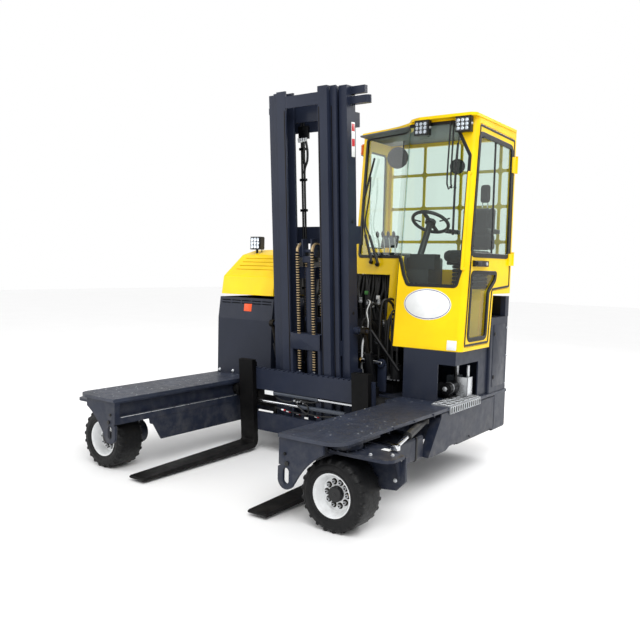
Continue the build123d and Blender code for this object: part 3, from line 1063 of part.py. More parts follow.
for name, shape in NODES.items():
    shapes = shape if isinstance(shape, list) else [shape]
    export_step(Compound(children=shapes) if len(shapes) > 1 else shapes[0], f"parts/{name}.step")
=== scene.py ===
import bpy
import bmesh
import math
import numpy as np
from mathutils import Matrix, Vector


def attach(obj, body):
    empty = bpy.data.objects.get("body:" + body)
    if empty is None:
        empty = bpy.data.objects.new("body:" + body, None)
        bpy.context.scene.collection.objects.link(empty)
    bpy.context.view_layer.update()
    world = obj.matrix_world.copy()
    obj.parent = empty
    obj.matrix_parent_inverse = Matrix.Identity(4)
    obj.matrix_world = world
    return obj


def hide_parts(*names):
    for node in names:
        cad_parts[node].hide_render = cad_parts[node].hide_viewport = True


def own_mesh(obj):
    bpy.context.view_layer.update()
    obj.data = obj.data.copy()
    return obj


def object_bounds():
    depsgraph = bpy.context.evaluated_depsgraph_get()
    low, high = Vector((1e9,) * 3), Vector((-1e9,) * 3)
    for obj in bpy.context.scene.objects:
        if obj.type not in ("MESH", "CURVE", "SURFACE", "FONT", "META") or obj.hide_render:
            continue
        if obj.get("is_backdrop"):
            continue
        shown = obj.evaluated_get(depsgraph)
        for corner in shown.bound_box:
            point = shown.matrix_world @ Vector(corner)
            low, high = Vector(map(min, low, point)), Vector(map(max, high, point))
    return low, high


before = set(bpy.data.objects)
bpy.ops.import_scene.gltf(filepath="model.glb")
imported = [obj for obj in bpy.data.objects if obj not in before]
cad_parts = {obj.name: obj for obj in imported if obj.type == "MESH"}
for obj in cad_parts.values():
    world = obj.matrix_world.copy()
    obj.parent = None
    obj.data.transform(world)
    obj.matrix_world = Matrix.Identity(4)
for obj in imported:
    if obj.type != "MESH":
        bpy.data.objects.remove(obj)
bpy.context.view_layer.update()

# Tyres: three solid tyres moulded from black rubber and pressed onto their rims, with chunky
# shoulder lugs that are staggered from side to side. All lengths here are in millimetres, as
# (x, behind the decks' front edge, height), until a piece is finished in metres.
FRONT = 1280            # the decks' front edge lies this far ahead of the origin
TYRE_RADIUS = 228.5
WHEELS = (("tyre_front_cab_side", "front_wheel_cab_side", 1084, 245),       # tyre, body, x, behind
          ("tyre_front_engine_side", "front_wheel_engine_side", -1084, 245),
          ("tyre_rear", "rear_wheel", 0, 2070))
LUGS = 22
GROOVE_DEPTH = 11.0
GROOVE_SHARE = 0.16     # half a groove's width, as a share of the lugs' pitch
STEPS_A_LUG = 16
LUG_SLANT = 0.0009      # radians round the axle for each millimetre across
PLAIN_BAND = 30         # half the width of the middle band without grooves
BAND_WAVE = 8           # how far the grooves' inner ends wander
GROOVE_FOOT = 205       # radius where the grooves run out on the sidewall


def colour(hex_value, alpha=1.0):
    """An sRGB hex value as linear RGBA."""
    parts = [int(hex_value[i:i + 2], 16) / 255 for i in (1, 3, 5)]
    return (*[c / 12.92 if c <= 0.04045 else ((c + 0.055) / 1.055) ** 2.4 for c in parts], alpha)


class Finish:
    """A material under way, with Object coordinates; every pattern size is in millimetres."""

    def __init__(self, name):
        self.mat = bpy.data.materials.new(name)
        self.mat.use_nodes = True
        self.tree = self.mat.node_tree
        self.shader = self.tree.nodes["Principled BSDF"]
        self.object = self.add("TexCoord", out="Object")

    def add(self, kind, inputs=(), out=0, **settings):
        """Adds a node, sets or links its inputs by name or number, and gives one of its outputs."""
        node = self.tree.nodes.new("ShaderNode" + kind)
        for key, value in settings.items():
            setattr(node, key, value)
        for key, value in dict(inputs).items():
            if isinstance(value, bpy.types.NodeSocket):
                self.tree.links.new(value, node.inputs[key])
            else:
                node.inputs[key].default_value = value
        return node.outputs[out]

    def patches(self, size_mm, detail, low, high, least=0.0, most=1.0, rough=0.5):
        """Soft patches about size_mm across: noise from low to high, spread from least to most."""
        noise = self.add("TexNoise", {"Vector": self.object, "Scale": 1000 / size_mm, "Detail": detail,
                                      "Roughness": rough})
        return self.add("MapRange", {0: noise, 1: low, 2: high, 3: least, 4: most})

    def facing_up(self):
        """1 where the surface looks upwards: the normal's Z from 0.5 to 0.95."""
        rise = self.add("SeparateXYZ", {0: self.add("NewGeometry", out="Normal")}, out="Z")
        return self.add("MapRange", {0: rise, 1: 0.5, 2: 0.95})

    def worn_edges(self, radius_mm):
        """1 along sharp edges: where a normal rounded over the radius turns away from the flat one."""
        soft = self.add("Bevel", {"Radius": radius_mm / 1000}, samples=4)
        flat = self.add("NewGeometry", out="Normal")
        dot = self.add("VectorMath", {0: soft, 1: flat}, out="Value", operation="DOT_PRODUCT")
        return self.add("MapRange", {0: dot, 1: 0.995, 2: 0.90})

    def relief(self, height, depth_mm, strength, edge_mm):
        """A bumped normal on edges that are rounded as a pressed or sanded edge is."""
        soft = self.add("Bevel", {"Radius": edge_mm / 1000}, samples=4)
        return self.add("Bump", {"Height": height, "Distance": depth_mm / 1000, "Strength": strength,
                                 "Normal": soft})

    def finish(self, base, rough, normal=None, **single):
        """Joins colour, roughness and normal to the shader and sets its single values."""
        for key, value in (("Base Color", base), ("Roughness", rough), ("Normal", normal)):
            if isinstance(value, bpy.types.NodeSocket):
                self.tree.links.new(value, self.shader.inputs[key])
            elif value is not None:
                self.shader.inputs[key].default_value = value
        for key, value in single.items():
            self.shader.inputs[key.replace("_", " ")].default_value = value
        return self.mat


def tyre_rubber():
    """Moulded black rubber: a brown bloom in patches of 35 mm and a skin of 3 mm pores."""
    g = Finish("black_tyre_rubber")
    bloom = g.add("Math", {0: g.patches(35, 6, 0.4, 0.75, rough=0.65), 1: 0.22}, operation="MULTIPLY")
    base = g.add("Mix", {0: bloom, 6: colour("#050608"), 7: colour("#232120")}, out=2, data_type="RGBA")
    pores = g.add("TexNoise", {"Vector": g.object, "Scale": 1000 / 3, "Detail": 3, "Roughness": 0.5})
    return g.finish(base, g.patches(20, 4, 0.3, 0.7, 0.45, 0.66), g.relief(pores, 0.25, 0.5, 2.0),
                    Specular_IOR_Level=0.28)


def coat(material, *node_names):
    """Gives whole CAD nodes their finish."""
    for node_name in node_names:
        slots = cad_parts[node_name].data.materials
        slots.clear()
        slots.append(material)


def grid(points, close_rows=False, caps=True):
    """Faces between rows of points, each row a closed ring: a row joins the next one, the last
    row joins the first where rows close, and else the two end rows are capped."""
    rows, columns = points.shape[:2]
    r = np.arange(rows if close_rows else rows - 1)[:, None] * columns
    c = np.arange(columns)[None, :]
    after, beside = (r + columns) % (rows * columns), (c + 1) % columns
    faces = np.stack([r + c, r + beside, after + beside, after + c], -1).reshape(-1, 4).tolist()
    if caps and not close_rows:
        faces += [list(range(columns)), list(range((rows - 1) * columns, rows * columns))]
    return points.reshape(-1, 3), faces


class Piece:
    """One named object gathered from closed parts, each with its own material."""

    def __init__(self, name, body="chassis", leaned=False):
        self.name, self.body, self.leaned = name, body, leaned
        self.points, self.faces, self.slots, self.materials, self.count = [], [], [], [], 0

    def add(self, shape, material):
        """Adds a shape's points and faces under a material."""
        points, faces = shape
        if material not in self.materials:
            self.materials.append(material)
        self.faces += [[i + self.count for i in face] for face in faces]
        self.slots += [self.materials.index(material)] * len(faces)
        self.points.append(points)
        self.count += len(points)
        return self

    def several(self, shapes, material):
        """Adds a list of shapes under one material."""
        for shape in shapes:
            self.add(shape, material)
        return self

    def done(self, *replaced, sharp=38):
        """Makes the mesh: places in metres, outward faces, edges over sharp degrees kept sharp."""
        points = leant(np.vstack(self.points), LEAN) if self.leaned else np.vstack(self.points)
        mesh = bpy.data.meshes.new(self.name)
        mesh.from_pydata(((points - (0, FRONT, 0)) / 1000).tolist(), [], self.faces)
        for material in self.materials:
            mesh.materials.append(material)
        mesh.polygons.foreach_set("material_index", self.slots)
        shell = bmesh.new()
        shell.from_mesh(mesh)
        bmesh.ops.recalc_face_normals(shell, faces=shell.faces)
        shell.to_mesh(mesh)
        shell.free()
        mesh.shade_smooth()
        mesh.polygons.foreach_set("use_smooth", [len(face) < 5 for face in self.faces])
        mesh.set_sharp_from_angle(angle=math.radians(sharp))
        piece = bpy.data.objects.new(self.name, mesh)
        bpy.context.collection.objects.link(piece)
        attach(piece, self.body)
        if replaced:
            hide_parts(*replaced)
        return piece


def tyre_surface():
    """Width and radius over (angle, place on the section). The section is the smooth tyre's
    profile, mirrored. It moves inwards by the groove's depth times four smooth steps: between
    two lugs, outside the plain middle band, above the sidewall, and less near its foot."""
    half = np.array([(98.5, 137.8), (106, 142), (110, 148), (110.5, 153), (108.5, 156), (111, 161),
                     (113, 170), (113.5, 180), (112.8, 188), (110.5, 193), (111, 197), (109.5, 202),
                     (107, 207), (103.5, 213), (98, 219), (90, 223.5), (80, 226.3), (68, 227.6),
                     (54, 228.2), (40, 228.4), (26, 228.5), (15, 228.5), (6, 228.5)])
    section = np.vstack([half, half[::-1] * (-1, 1)])
    out = np.gradient(section, axis=0)
    out = np.stack([out[:, 1], -out[:, 0]], -1)
    out /= -np.linalg.norm(out, axis=1)[:, None]
    angle = np.linspace(0, 2 * np.pi, LUGS * STEPS_A_LUG, endpoint=False)
    across, radius = section.T
    side = np.sign(across)
    skew = np.abs(across) * LUG_SLANT * side
    phase = (angle[:, None] + skew) * LUGS / (2 * np.pi) + np.where(side > 0, 0.5, 0.0)
    gap = np.abs((phase % 1) - 0.5)
    wall = 1 / (1 + np.exp(-(GROOVE_SHARE - gap) / 0.016))
    reach = 1 / (1 + np.exp(-(np.abs(across) - PLAIN_BAND - BAND_WAVE * np.sin(phase * 2 * np.pi)) / 2.5))
    foot = 1 / (1 + np.exp(-(radius - GROOVE_FOOT) / 2))
    depth = GROOVE_DEPTH * wall * reach * foot * np.interp(radius, (203, 216, 225), (0.5, 0.8, 1.0))
    a = section[None, :, 0] - out[:, 0] * depth
    r = section[None, :, 1] - out[:, 1] * depth
    r = np.minimum(r, TYRE_RADIUS)
    return a, r, angle


TYRE = tyre_rubber()    # near black and dull, a little brown where it is dusty
coat(TYRE, "tyre_front_cab_side", "tyre_front_engine_side", "tyre_rear")
across, radius, angle = tyre_surface()
for tyre_name, body, x, behind in WHEELS:
    points = np.stack([x + radius * np.cos(angle)[:, None], behind + across,
                       TYRE_RADIUS + radius * np.sin(angle)[:, None]], -1)
    Piece(tyre_name.replace("tyre", "block_tread_tyre"), body).add(grid(points, close_rows=True), TYRE).done(
        tyre_name, sharp=30)

# Rims: pressed steel discs with a deep dish, enamelled white, held by ten hexagon nuts on a
# circle round a black rubber hub cap. A brass valve stem stands in the dish.
NUTS = 10
NUT_CIRCLE = 75


def unit(v):
    """The vector divided by its length."""
    return np.asarray(v, float) / np.linalg.norm(v)


def basis(axis):
    """The axis as a unit vector and two directions square to it."""
    axis = unit(axis)
    side = unit(np.cross(axis, (0, 0, 1) if abs(axis[2]) < 0.9 else (1, 0, 0)))
    return axis, side, np.cross(axis, side)


def turned(profile, start, axis, sides=32, phase=0.0):
    """A turned part: pairs of distance along the axis and radius, swept once round it."""
    axis, u, v = basis(axis)
    along, radius = np.array(profile, float).T
    angle = phase + np.linspace(0, 2 * np.pi, sides, endpoint=False)
    ring = np.cos(angle)[:, None] * u + np.sin(angle)[:, None] * v
    return grid(np.asarray(start, float) + along[:, None, None] * axis + radius[:, None, None] * ring)


def curve(points, step=10):
    """A smooth curve through the points, about one place per step: cubics whose slope at a point
    is half the step between its two neighbours."""
    p = np.asarray(points, float)
    p = np.vstack([2 * p[0] - p[1], p, 2 * p[-1] - p[-2]])
    runs = []
    for a, b, c, d in zip(p, p[1:], p[2:], p[3:]):
        t = np.linspace(0, 1, max(2, int(np.linalg.norm(c - b) / step)), endpoint=False)[:, None]
        runs.append(0.5 * (2 * b + (c - a) * t + (2 * a - 5 * b + 4 * c - d) * t ** 2
                           + (3 * b - a - 3 * c + d) * t ** 3))
    return np.vstack(runs + [p[-2:-1]])


def tube(points, radius, step=10, sides=14):
    """A hose, pipe or cable: a circle carried along the curve without twist, with closed ends."""
    path = curve(points, step)
    tangents = np.gradient(path, axis=0)
    tangents /= np.linalg.norm(tangents, axis=1)[:, None]
    normal = basis(tangents[0])[1]
    normals = []
    for t in tangents:
        normal = unit(normal - t * np.dot(normal, t))
        normals.append(normal)
    normals = np.array(normals)
    angle = np.linspace(0, 2 * np.pi, sides, endpoint=False)[None, :, None]
    ring = np.cos(angle) * normals[:, None] + np.sin(angle) * np.cross(tangents, normals)[:, None]
    return grid(path[:, None] + radius * ring)


def paint(name, hex_value, rough, coat_weight=0.05, dust="#8d8a84", dust_amount=0.25, edge=2.5,
          chips="#7d7f82", chip_amount=0.25, shine=0.25):
    """Sprayed machine paint: soft patches of 300 mm, road dust that gathers low down and on top,
    chips of 26 mm along worn edges, and an orange peel of 2.2 mm."""
    g = Finish(name)
    base = g.add("HueSaturation", {"Value": g.patches(300, 5, 0.3, 0.7, 0.9, 1.1),
                                   "Color": colour(hex_value)})
    height = g.add("SeparateXYZ", {0: g.object}, out="Z")
    low_down = g.add("MapRange", {0: height, 1: 0.75, 2: 0.1})
    on_top = g.add("Math", {0: g.facing_up(), 1: 0.35}, operation="MULTIPLY")
    where = g.add("Math", {0: low_down, 1: on_top}, operation="ADD")
    film = g.add("Math", {0: where, 1: g.patches(90, 6, 0.42, 0.75, rough=0.65)}, operation="MULTIPLY")
    film = g.add("Math", {0: film, 1: dust_amount}, operation="MULTIPLY", use_clamp=True)
    dirty = g.add("Mix", {0: film, 6: base, 7: colour(dust)}, out=2, data_type="RGBA")
    spots = g.patches(26, 4, 0.52, 0.66, rough=0.7)
    chip = g.add("Math", {0: g.worn_edges(edge * 0.8), 1: spots}, operation="MULTIPLY")
    chip = g.add("Math", {0: chip, 1: chip_amount}, operation="MULTIPLY")
    chipped = g.add("Mix", {0: chip, 6: dirty, 7: colour(chips)}, out=2, data_type="RGBA")
    peel = g.add("TexNoise", {"Vector": g.object, "Scale": 1000 / 2.2, "Detail": 2, "Roughness": 0.5})
    return g.finish(chipped, g.patches(60, 5, 0.3, 0.7, rough - 0.05, rough + 0.07),
                    g.relief(peel, 0.06, 0.35, edge), Coat_Weight=coat_weight, Coat_Roughness=0.12,
                    Specular_IOR_Level=shine)


def steel(name, hex_value, rough, streak_mm=(300, 6, 6), metallic=1.0):
    """Drawn, plated or ground metal: streaks as long as the three lengths say, in X, Y and Z."""
    g = Finish(name)
    place = g.add("Mapping", {"Vector": g.object, "Scale": tuple(1000 / s for s in streak_mm)})
    fine = g.add("TexNoise", {"Vector": place, "Scale": 1.0, "Detail": 4.0})
    tone = g.add("MapRange", {0: fine, 1: 0.3, 2: 0.7, 3: 0.86, 4: 1.1})
    base = g.add("HueSaturation", {"Value": tone, "Color": colour(hex_value)})
    sheen = g.add("MapRange", {0: fine, 1: 0.3, 2: 0.7, 3: rough * 0.8, 4: rough * 1.25})
    return g.finish(base, sheen, g.relief(fine, 0.03, 0.3, 1.0), Metallic=metallic)


def plastic(name, hex_value, rough, grain_mm=0.9, depth_mm=0.06, **single):
    """Moulded plastic or rubber: soft patches of 140 mm and a fine grain."""
    g = Finish(name)
    base = g.add("HueSaturation", {"Value": g.patches(140, 4, 0.3, 0.7, 0.88, 1.12),
                                   "Color": colour(hex_value)})
    grain = g.add("TexNoise", {"Vector": g.object, "Scale": 1000 / grain_mm, "Detail": 2, "Roughness": 0.5})
    return g.finish(base, g.patches(30, 4, 0.3, 0.7, rough - 0.06, rough + 0.06),
                    g.relief(grain, depth_mm, 0.5, 1.2), **single)


def region(node_name, material, low, high, leaned=False):
    """Gives a CAD node's faces whose middles lie in a box, in millimetres, a finish of their own."""
    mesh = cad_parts[node_name].data
    mesh.materials.append(material)
    centres = np.empty(len(mesh.polygons) * 3)
    mesh.polygons.foreach_get("center", centres)
    centres = centres.reshape(-1, 3) * 1000 + (0, FRONT, 0)
    if leaned:
        centres = leant(centres, -LEAN)
    inside = np.all((centres >= low) & (centres <= high), axis=1)
    slots = np.empty(len(mesh.polygons), np.int32)
    mesh.polygons.foreach_get("material_index", slots)
    slots[inside] = len(mesh.materials) - 1
    mesh.polygons.foreach_set("material_index", slots)

# White enamel with brown dust in the dish; bright cut zinc; dark oiled steel; dull yellow brass;
# black plastic that shows as a soft dark grey
WHITE_RIM = paint("white_rim_enamel", "#e9ebec", 0.32, 0.4, dust="#5b5750", dust_amount=0.3, edge=1.5,
                  chip_amount=0.1)
ZINC = steel("bright_zinc_plate", "#d4d7da", 0.3, (40, 40, 40), 0.7)
DARK_STEEL = steel("dark_chain_plate", "#2a2723", 0.42, (5, 5, 5))
BRASS = steel("brass_fitting", "#b58f3f", 0.3, (20, 20, 20))
PLASTIC = plastic("black_moulded_plastic", "#0f1012", 0.5)
coat(WHITE_RIM, "rim_front_cab_side", "rim_front_engine_side", "rim_rear")
for tyre_name, body, x, behind in WHEELS:
    rim_name = tyre_name.replace("tyre", "rim")
    nut_places = [(x + NUT_CIRCLE * math.cos(at), TYRE_RADIUS + NUT_CIRCLE * math.sin(at))
                  for at in np.arange(NUTS) * 2 * np.pi / NUTS]
    for nut_x, nut_z in nut_places:
        region(rim_name, ZINC, (nut_x - 12.5, behind - 60, nut_z - 12.5),
               (nut_x + 12.5, behind - 37.5, nut_z + 12.5))
    region(rim_name, PLASTIC, (x - 49, behind - 80, TYRE_RADIUS - 49),
           (x + 49, behind - 37.5, TYRE_RADIUS + 49))
    hub = Piece(rim_name.replace("rim", "hub_details"), body)
    hub.add(turned([(0, 44), (-2.5, 42), (-2.5, 12), (-5, 10)], (x, behind - 68.5, TYRE_RADIUS), (0, 1, 0),
                   36), PLASTIC)
    for nut_x, nut_z in nut_places:
        hub.add(turned([(0, 19), (-3, 19), (-4, 17.5)], (nut_x, behind - 36.5, nut_z), (0, 1, 0), 24),
                DARK_STEEL)
        hub.add(turned([(0, 6), (-4, 6), (-5, 5)], (nut_x, behind - 52, nut_z), (0, 1, 0), 12), DARK_STEEL)
    hub.add(tube([(x + 98, behind - 42, TYRE_RADIUS + 20), (x + 106, behind - 62, TYRE_RADIUS + 22),
                  (x + 109, behind - 76, TYRE_RADIUS + 23)], 4, 6, 10), BRASS)
    hub.done()

# Knuckles, rear yoke and steering cylinders: welded steel carriers that turn on slewing rings,
# each with a hydraulic drive motor bolted behind its wheel, and cylinders with chromed rods.
# A bare label is stuck on each knuckle.
MOTOR_CIRCLE, RING_CIRCLE = 78, 124
KNUCKLE_X, RING_BEHIND = 1084, 285


def rounded(corners, radius, steps=5):
    """A closed outline whose corners are rounded by parabolas that end a radius away."""
    p = np.asarray(corners, float)
    out = []
    for a, b, c in zip(np.roll(p, 1, 0), p, np.roll(p, -1, 0)):
        u, v = unit(a - b), unit(c - b)
        half = np.arccos(np.clip(np.dot(u, v), -1, 1)) / 2
        cut = min(radius / np.tan(half), 0.45 * np.linalg.norm(a - b), 0.45 * np.linalg.norm(c - b))
        t = np.linspace(0, 1, steps)[:, None]
        out.append((1 - t) ** 2 * (b + u * cut) + 2 * t * (1 - t) * b + t ** 2 * (b + v * cut))
    return np.vstack(out)


def rectangle(width, height, radius=4.0):
    """A rounded rectangle round the origin."""
    w, h = width / 2, height / 2
    return rounded([(-w, -h), (w, -h), (w, h), (-w, h)], radius)


def slab(outline, depth, origin, u=(1, 0, 0), v=(0, 0, 1), bevel=1.5):
    """A plate: an outline in the plane of u and v, grown by depth along u x v. Six rings carry
    it, the outer ones drawn in along the corners' bisectors, so that both edges are rounded."""
    flat = np.asarray(outline, float)
    before, after = flat - np.roll(flat, 1, 0), np.roll(flat, -1, 0) - flat
    twice_area = np.sum(flat[:, 0] * np.roll(flat[:, 1], -1) - np.roll(flat[:, 0], -1) * flat[:, 1])
    sign = np.sign(twice_area)
    n1 = sign * np.stack([-before[:, 1], before[:, 0]], -1) / (np.linalg.norm(before, axis=1)[:, None] + 1e-9)
    n2 = sign * np.stack([-after[:, 1], after[:, 0]], -1) / (np.linalg.norm(after, axis=1)[:, None] + 1e-9)
    inward = (n1 + n2) / (1 + np.sum(n1 * n2, axis=1, keepdims=True) + 0.05)
    u, v = unit(u), unit(v)
    w = np.cross(u, v)
    b = min(bevel, depth * 0.45)
    levels = [(b, 0), (0.3 * b, 0.3 * b), (0, b), (0, depth - b), (0.3 * b, depth - 0.3 * b), (b, depth)]
    rings = []
    for inset, level in levels:
        place = flat + inward * inset
        rings.append(np.asarray(origin, float) + place[:, :1] * u + place[:, 1:] * v + level * w)
    return grid(np.array(rings))


def bolt(place, axis, size, washer=True):
    """A hexagon bolt's head and its washer; size is the width over flats."""
    place, axis = np.asarray(place, float), unit(axis)
    parts = [turned([(0, size * 0.75), (size * 0.12, size * 0.75)], place, axis, 20)] if washer else []
    parts.append(turned([(0, size * 0.57), (size * 0.5, size * 0.57), (size * 0.58, size * 0.48)],
                        place + axis * size * 0.1, axis, 6))
    return parts

# Anthracite with pale dust on top; the mast's cleaner shade of it; black paint; ground chrome that
# mirrors along its length; black rubber hose; bare white film
ANTHRACITE = paint("anthracite_machine_paint", "#1e2433", 0.40)
MAST_PAINT = paint("anthracite_mast_paint", "#222838", 0.38, dust_amount=0.1)
BLACK_PAINT = paint("satin_black_paint", "#0a0b0e", 0.42)
CHROME = steel("hard_chrome", "#d8dadd", 0.08)
HOSE = plastic("black_hose_rubber", "#0a0b0c", 0.45, 1.6, 0.12)
STICKER = plastic("white_sticker_film", "#eef0f0", 0.35)
coat(ANTHRACITE, "knuckle_cab_side", "knuckle_engine_side", "rear_yoke")
coat(BLACK_PAINT, "steer_barrel_cab_side", "steer_barrel_engine_side")
coat(CHROME, "steer_rod_cab_side", "steer_rod_engine_side")
for side_name, sign in (("cab_side", 1), ("engine_side", -1)):
    knuckle = Piece("knuckle_details_" + side_name, "knuckle_" + side_name)
    for at in np.linspace(0, 2 * np.pi, 14, endpoint=False):
        place = (sign * (KNUCKLE_X + RING_CIRCLE * math.cos(at)), RING_BEHIND + RING_CIRCLE * math.sin(at),
                 499.5)
        knuckle.several(bolt(place, (0, 0, 1), 13, False), MAST_PAINT)
    for at in (np.arange(8) + 0.5) * np.pi / 4:
        place = (sign * (KNUCKLE_X + MOTOR_CIRCLE * math.cos(at)), 511.5,
                 TYRE_RADIUS + MOTOR_CIRCLE * math.sin(at))
        knuckle.several(bolt(place, (0, 1, 0), 13, False), ZINC)
    for dx in (-34, 34):
        port = (sign * (KNUCKLE_X + dx), 455, TYRE_RADIUS + 84)
        knuckle.add(turned([(0, 15), (18, 15), (20, 12), (34, 12)], port, (0, 0, 1), 6), ZINC)
        knuckle.add(tube([(port[0], 455, port[2] + 30), (port[0] + sign * 4, 458, port[2] + 70),
                          (port[0] + sign * 26, 452, port[2] + 110),
                          (port[0] + sign * 60, 440, port[2] + 138)], 9, 8), HOSE)
    knuckle.add(turned([(0, 36), (3, 36), (4, 33), (4, 20)], (sign * 1370, 397, 480), (0, 0, -1), 32), BRASS)
    for x, behind in ((1300, 225), (1408, 300)):
        knuckle.several(bolt((sign * x, behind, 500), (0, 0, 1), 17), ZINC)
    knuckle.add(slab(rectangle(62, 46, 3), 0.8, (sign * 1312, 398, 500), (1, 0, 0), (0, 1, 0), 0.3), STICKER)
    for x, z in ((1420, 460), (1390, 330), (1180, 250)):
        knuckle.several(bolt((sign * x, 373.5, z), (0, -1, 0), 17), ZINC)
    knuckle.done()

# Chassis: legs of welded plate with inner rails for the reach carriage, side skirts, the rear
# crossframe and a fuel tank held by two bands. Small bolts and rubber buffers are screwed on. A thin
# bright zinc strip along each inner rail is a painted highlight.


def block(x, y, z, bevel=2.0, corner=3.0):
    """A block between three pairs of limits, with rounded edges."""
    middle = ((x[0] + x[1]) / 2, y[1], (z[0] + z[1]) / 2)
    return slab(rectangle(x[1] - x[0], z[1] - z[0], corner), y[1] - y[0], middle, (1, 0, 0), (0, 0, 1), bevel)


SEAL = plastic("black_window_seal", "#08090a", 0.5)     # soft black rubber
coat(ANTHRACITE, "legs", "skirts", "rear_crossframe", "fuel_tank")
legs = Piece("leg_details")
for sign in (-1, 1):
    # a thin bright zinc strip along the inner rail: a painted highlight on its edge
    legs.add(slab(rectangle(1560, 5, 2), 0.8, (sign * 777.6, 850, 449), (0, -sign, 0), (0, 0, 1), 0.3), ZINC)
    legs.several(bolt((sign * 826, 12, 470), (0, -1, 0), 15), BLACK_PAINT)
    legs.add(turned([(0, 15), (9, 15), (11, 12), (11, 5)], (sign * 843, 12, 412), (0, -1, 0), 28), SEAL)
    for behind in (620, 900, 1180):
        legs.several(bolt((sign * 1226, behind, 580), (sign, 0, 0), 11, washer=False), ANTHRACITE)
for z in (330, 392):
    legs.add(block((838, 1184), (760, 776), (z, z + 3), 0.6, 1), BLACK_PAINT)
for behind in (780, 1040):
    legs.add(slab(rounded([(-175, -90), (175, -90), (175, 90), (-175, 90)], 24), 22, (1010, behind, 354),
                  (1, 0, 0), (0, 0, 1), 1), BLACK_PAINT)
legs.done()

# Decks: flat steel plates on the legs and the frame, sprayed with grit in the paint so that a
# foot doesn't slip. Dust and drops lie on them as pale specks.


def anti_slip_paint():
    """Grit of 3.4 mm on upward faces, patches of 240 mm, and specks 10 mm across, drawn larger than
    real drops so that they show, in patches of 420 mm."""
    g = Finish("anti_slip_deck_paint")
    grit = g.add("TexVoronoi", {"Vector": g.object, "Scale": 1000 / 3.4}, feature="F1")
    grains = g.add("MapRange", {0: grit, 1: 0.55, 2: 0.05})
    grains = g.add("Math", {0: grains, 1: g.facing_up()}, operation="MULTIPLY")
    cells = g.add("TexVoronoi", {"Vector": g.object, "Scale": 1000 / 44.0}, feature="F1")
    drops = g.add("MapRange", {0: cells, 1: 0.15, 2: 0.10})
    speck = g.add("Math", {0: drops, 1: g.patches(420, 3, 0.44, 0.54)}, operation="MULTIPLY")
    speck = g.add("Math", {0: speck, 1: g.facing_up()}, operation="MULTIPLY")
    speck = g.add("Math", {0: speck, 1: 0.9}, operation="MULTIPLY")
    tone = g.patches(240, 5, 0.35, 0.7, rough=0.6)
    base = g.add("Mix", {0: tone, 6: colour("#1c2230"), 7: colour("#2b3243")}, out=2, data_type="RGBA")
    worn = g.add("Mix", {0: speck, 6: base, 7: colour("#c9ced3")}, out=2, data_type="RGBA")
    return g.finish(worn, g.patches(50, 4, 0.3, 0.7, 0.42, 0.62), g.relief(grains, 0.8, 0.7, 2.5),
                    Coat_Weight=0.15, Coat_Roughness=0.2)


coat(anti_slip_paint(), "decks")

# Step: a folded aluminium tread with raised oval rims punched round its holes, in three rows on
# top and one down the front lip, where a boot wears them bright. The holes are black ovals:
# painted shade where one looks down into them.
STEP_MIDDLE = (1151.5, 1715)
STEP_TOP, STEP_FACE = 602, 1233
HOLE_PITCH, ROW_PITCH = 78, 50
ALONG, INWARD, UPWARD = np.array((0, 1, 0)), np.array((-1, 0, 0)), np.array((0, 0, 1))
step = Piece("step_tread_rings")


def oval_ring(piece, centre, u, v, long_mm, wide_mm):
    """A raised ring: four ovals, from the hole's edge up over a rim and down outside it."""
    outer, inner = rectangle(long_mm + 10, wide_mm + 10, 99), rectangle(long_mm + 3, wide_mm + 3, 99)
    rise = np.cross(unit(u), unit(v))
    rings = []
    for outline, level in ((outer, 0), (outer * 0.96, 4.5), (inner * 1.02, 4.5), (inner, 0)):
        rings.append(np.asarray(centre, float) + outline[:, :1] * u + outline[:, 1:] * v + level * rise)
    piece.add(grid(np.array(rings), close_rows=True), ZINC)


coat(steel("worn_tread_aluminium", "#8b8e92", 0.45, (40, 40, 40), 0.5), "step_tread")
for i in range(7):
    behind = STEP_MIDDLE[1] + HOLE_PITCH * (i - 3)
    for j in range(3):
        place = (STEP_MIDDLE[0] + ROW_PITCH * (j - 1), behind + 20 * (j % 2), STEP_TOP)
        # a black oval for the hole: painted shade
        step.add(slab(rectangle(64, 36, 99), 1.0, place, ALONG, INWARD, 0.3), BLACK_PAINT)
        oval_ring(step, place, ALONG, INWARD, 62, 35)
    for shift in (-18, 20):
        place = (STEP_FACE, behind + shift, 568)
        # a black oval for the hole in the lip: painted shade
        step.add(slab(rectangle(25, 46, 99), 1.0, place, ALONG, UPWARD, 0.3), BLACK_PAINT)
        oval_ring(step, place, ALONG, UPWARD, 23, 44)
step.done()

# Reach and tilt: the black carriage runs on rollers in the legs' rails, pushed by two-stage
# cylinders, and carries the tilt cylinders. Their rods are dark with old oil.
coat(BLACK_PAINT, "reach_carriage", "reach_sleeves", "tilt_barrels")
coat(DARK_STEEL, "tilt_rods")

# Mast: three nested stages of rolled rail, welded to cross bars and painted, with hydraulic lines
# clipped behind them, a bare warning strip on the outer rail and worn strips where pads rub.
LEAN = math.radians(4)  # the mast leans forward about its pivot
PIVOT = (1470, 300)     # the pivot's distance behind the front edge, and its height
MAST = 1347             # the inner stage's front face, mast upright


def leant(points, angle):
    """Points turned about the mast's pivot by an angle that is positive for a forward lean."""
    y, z = points[:, 1] - PIVOT[0], points[:, 2] - PIVOT[1]
    points[:, 1] = PIVOT[0] + y * math.cos(angle) - z * math.sin(angle)
    points[:, 2] = PIVOT[1] + y * math.sin(angle) + z * math.cos(angle)
    return points


def bar(start, end, radius, chamfer=1.0, sides=24):
    """A straight round bar whose ends are cut back by the chamfer."""
    length = float(np.linalg.norm(np.subtract(end, start)))
    c = min(chamfer, radius * 0.4)
    return turned([(0, radius - c), (c, radius), (length - c, radius), (length, radius - c)], start,
                  np.subtract(end, start), sides)


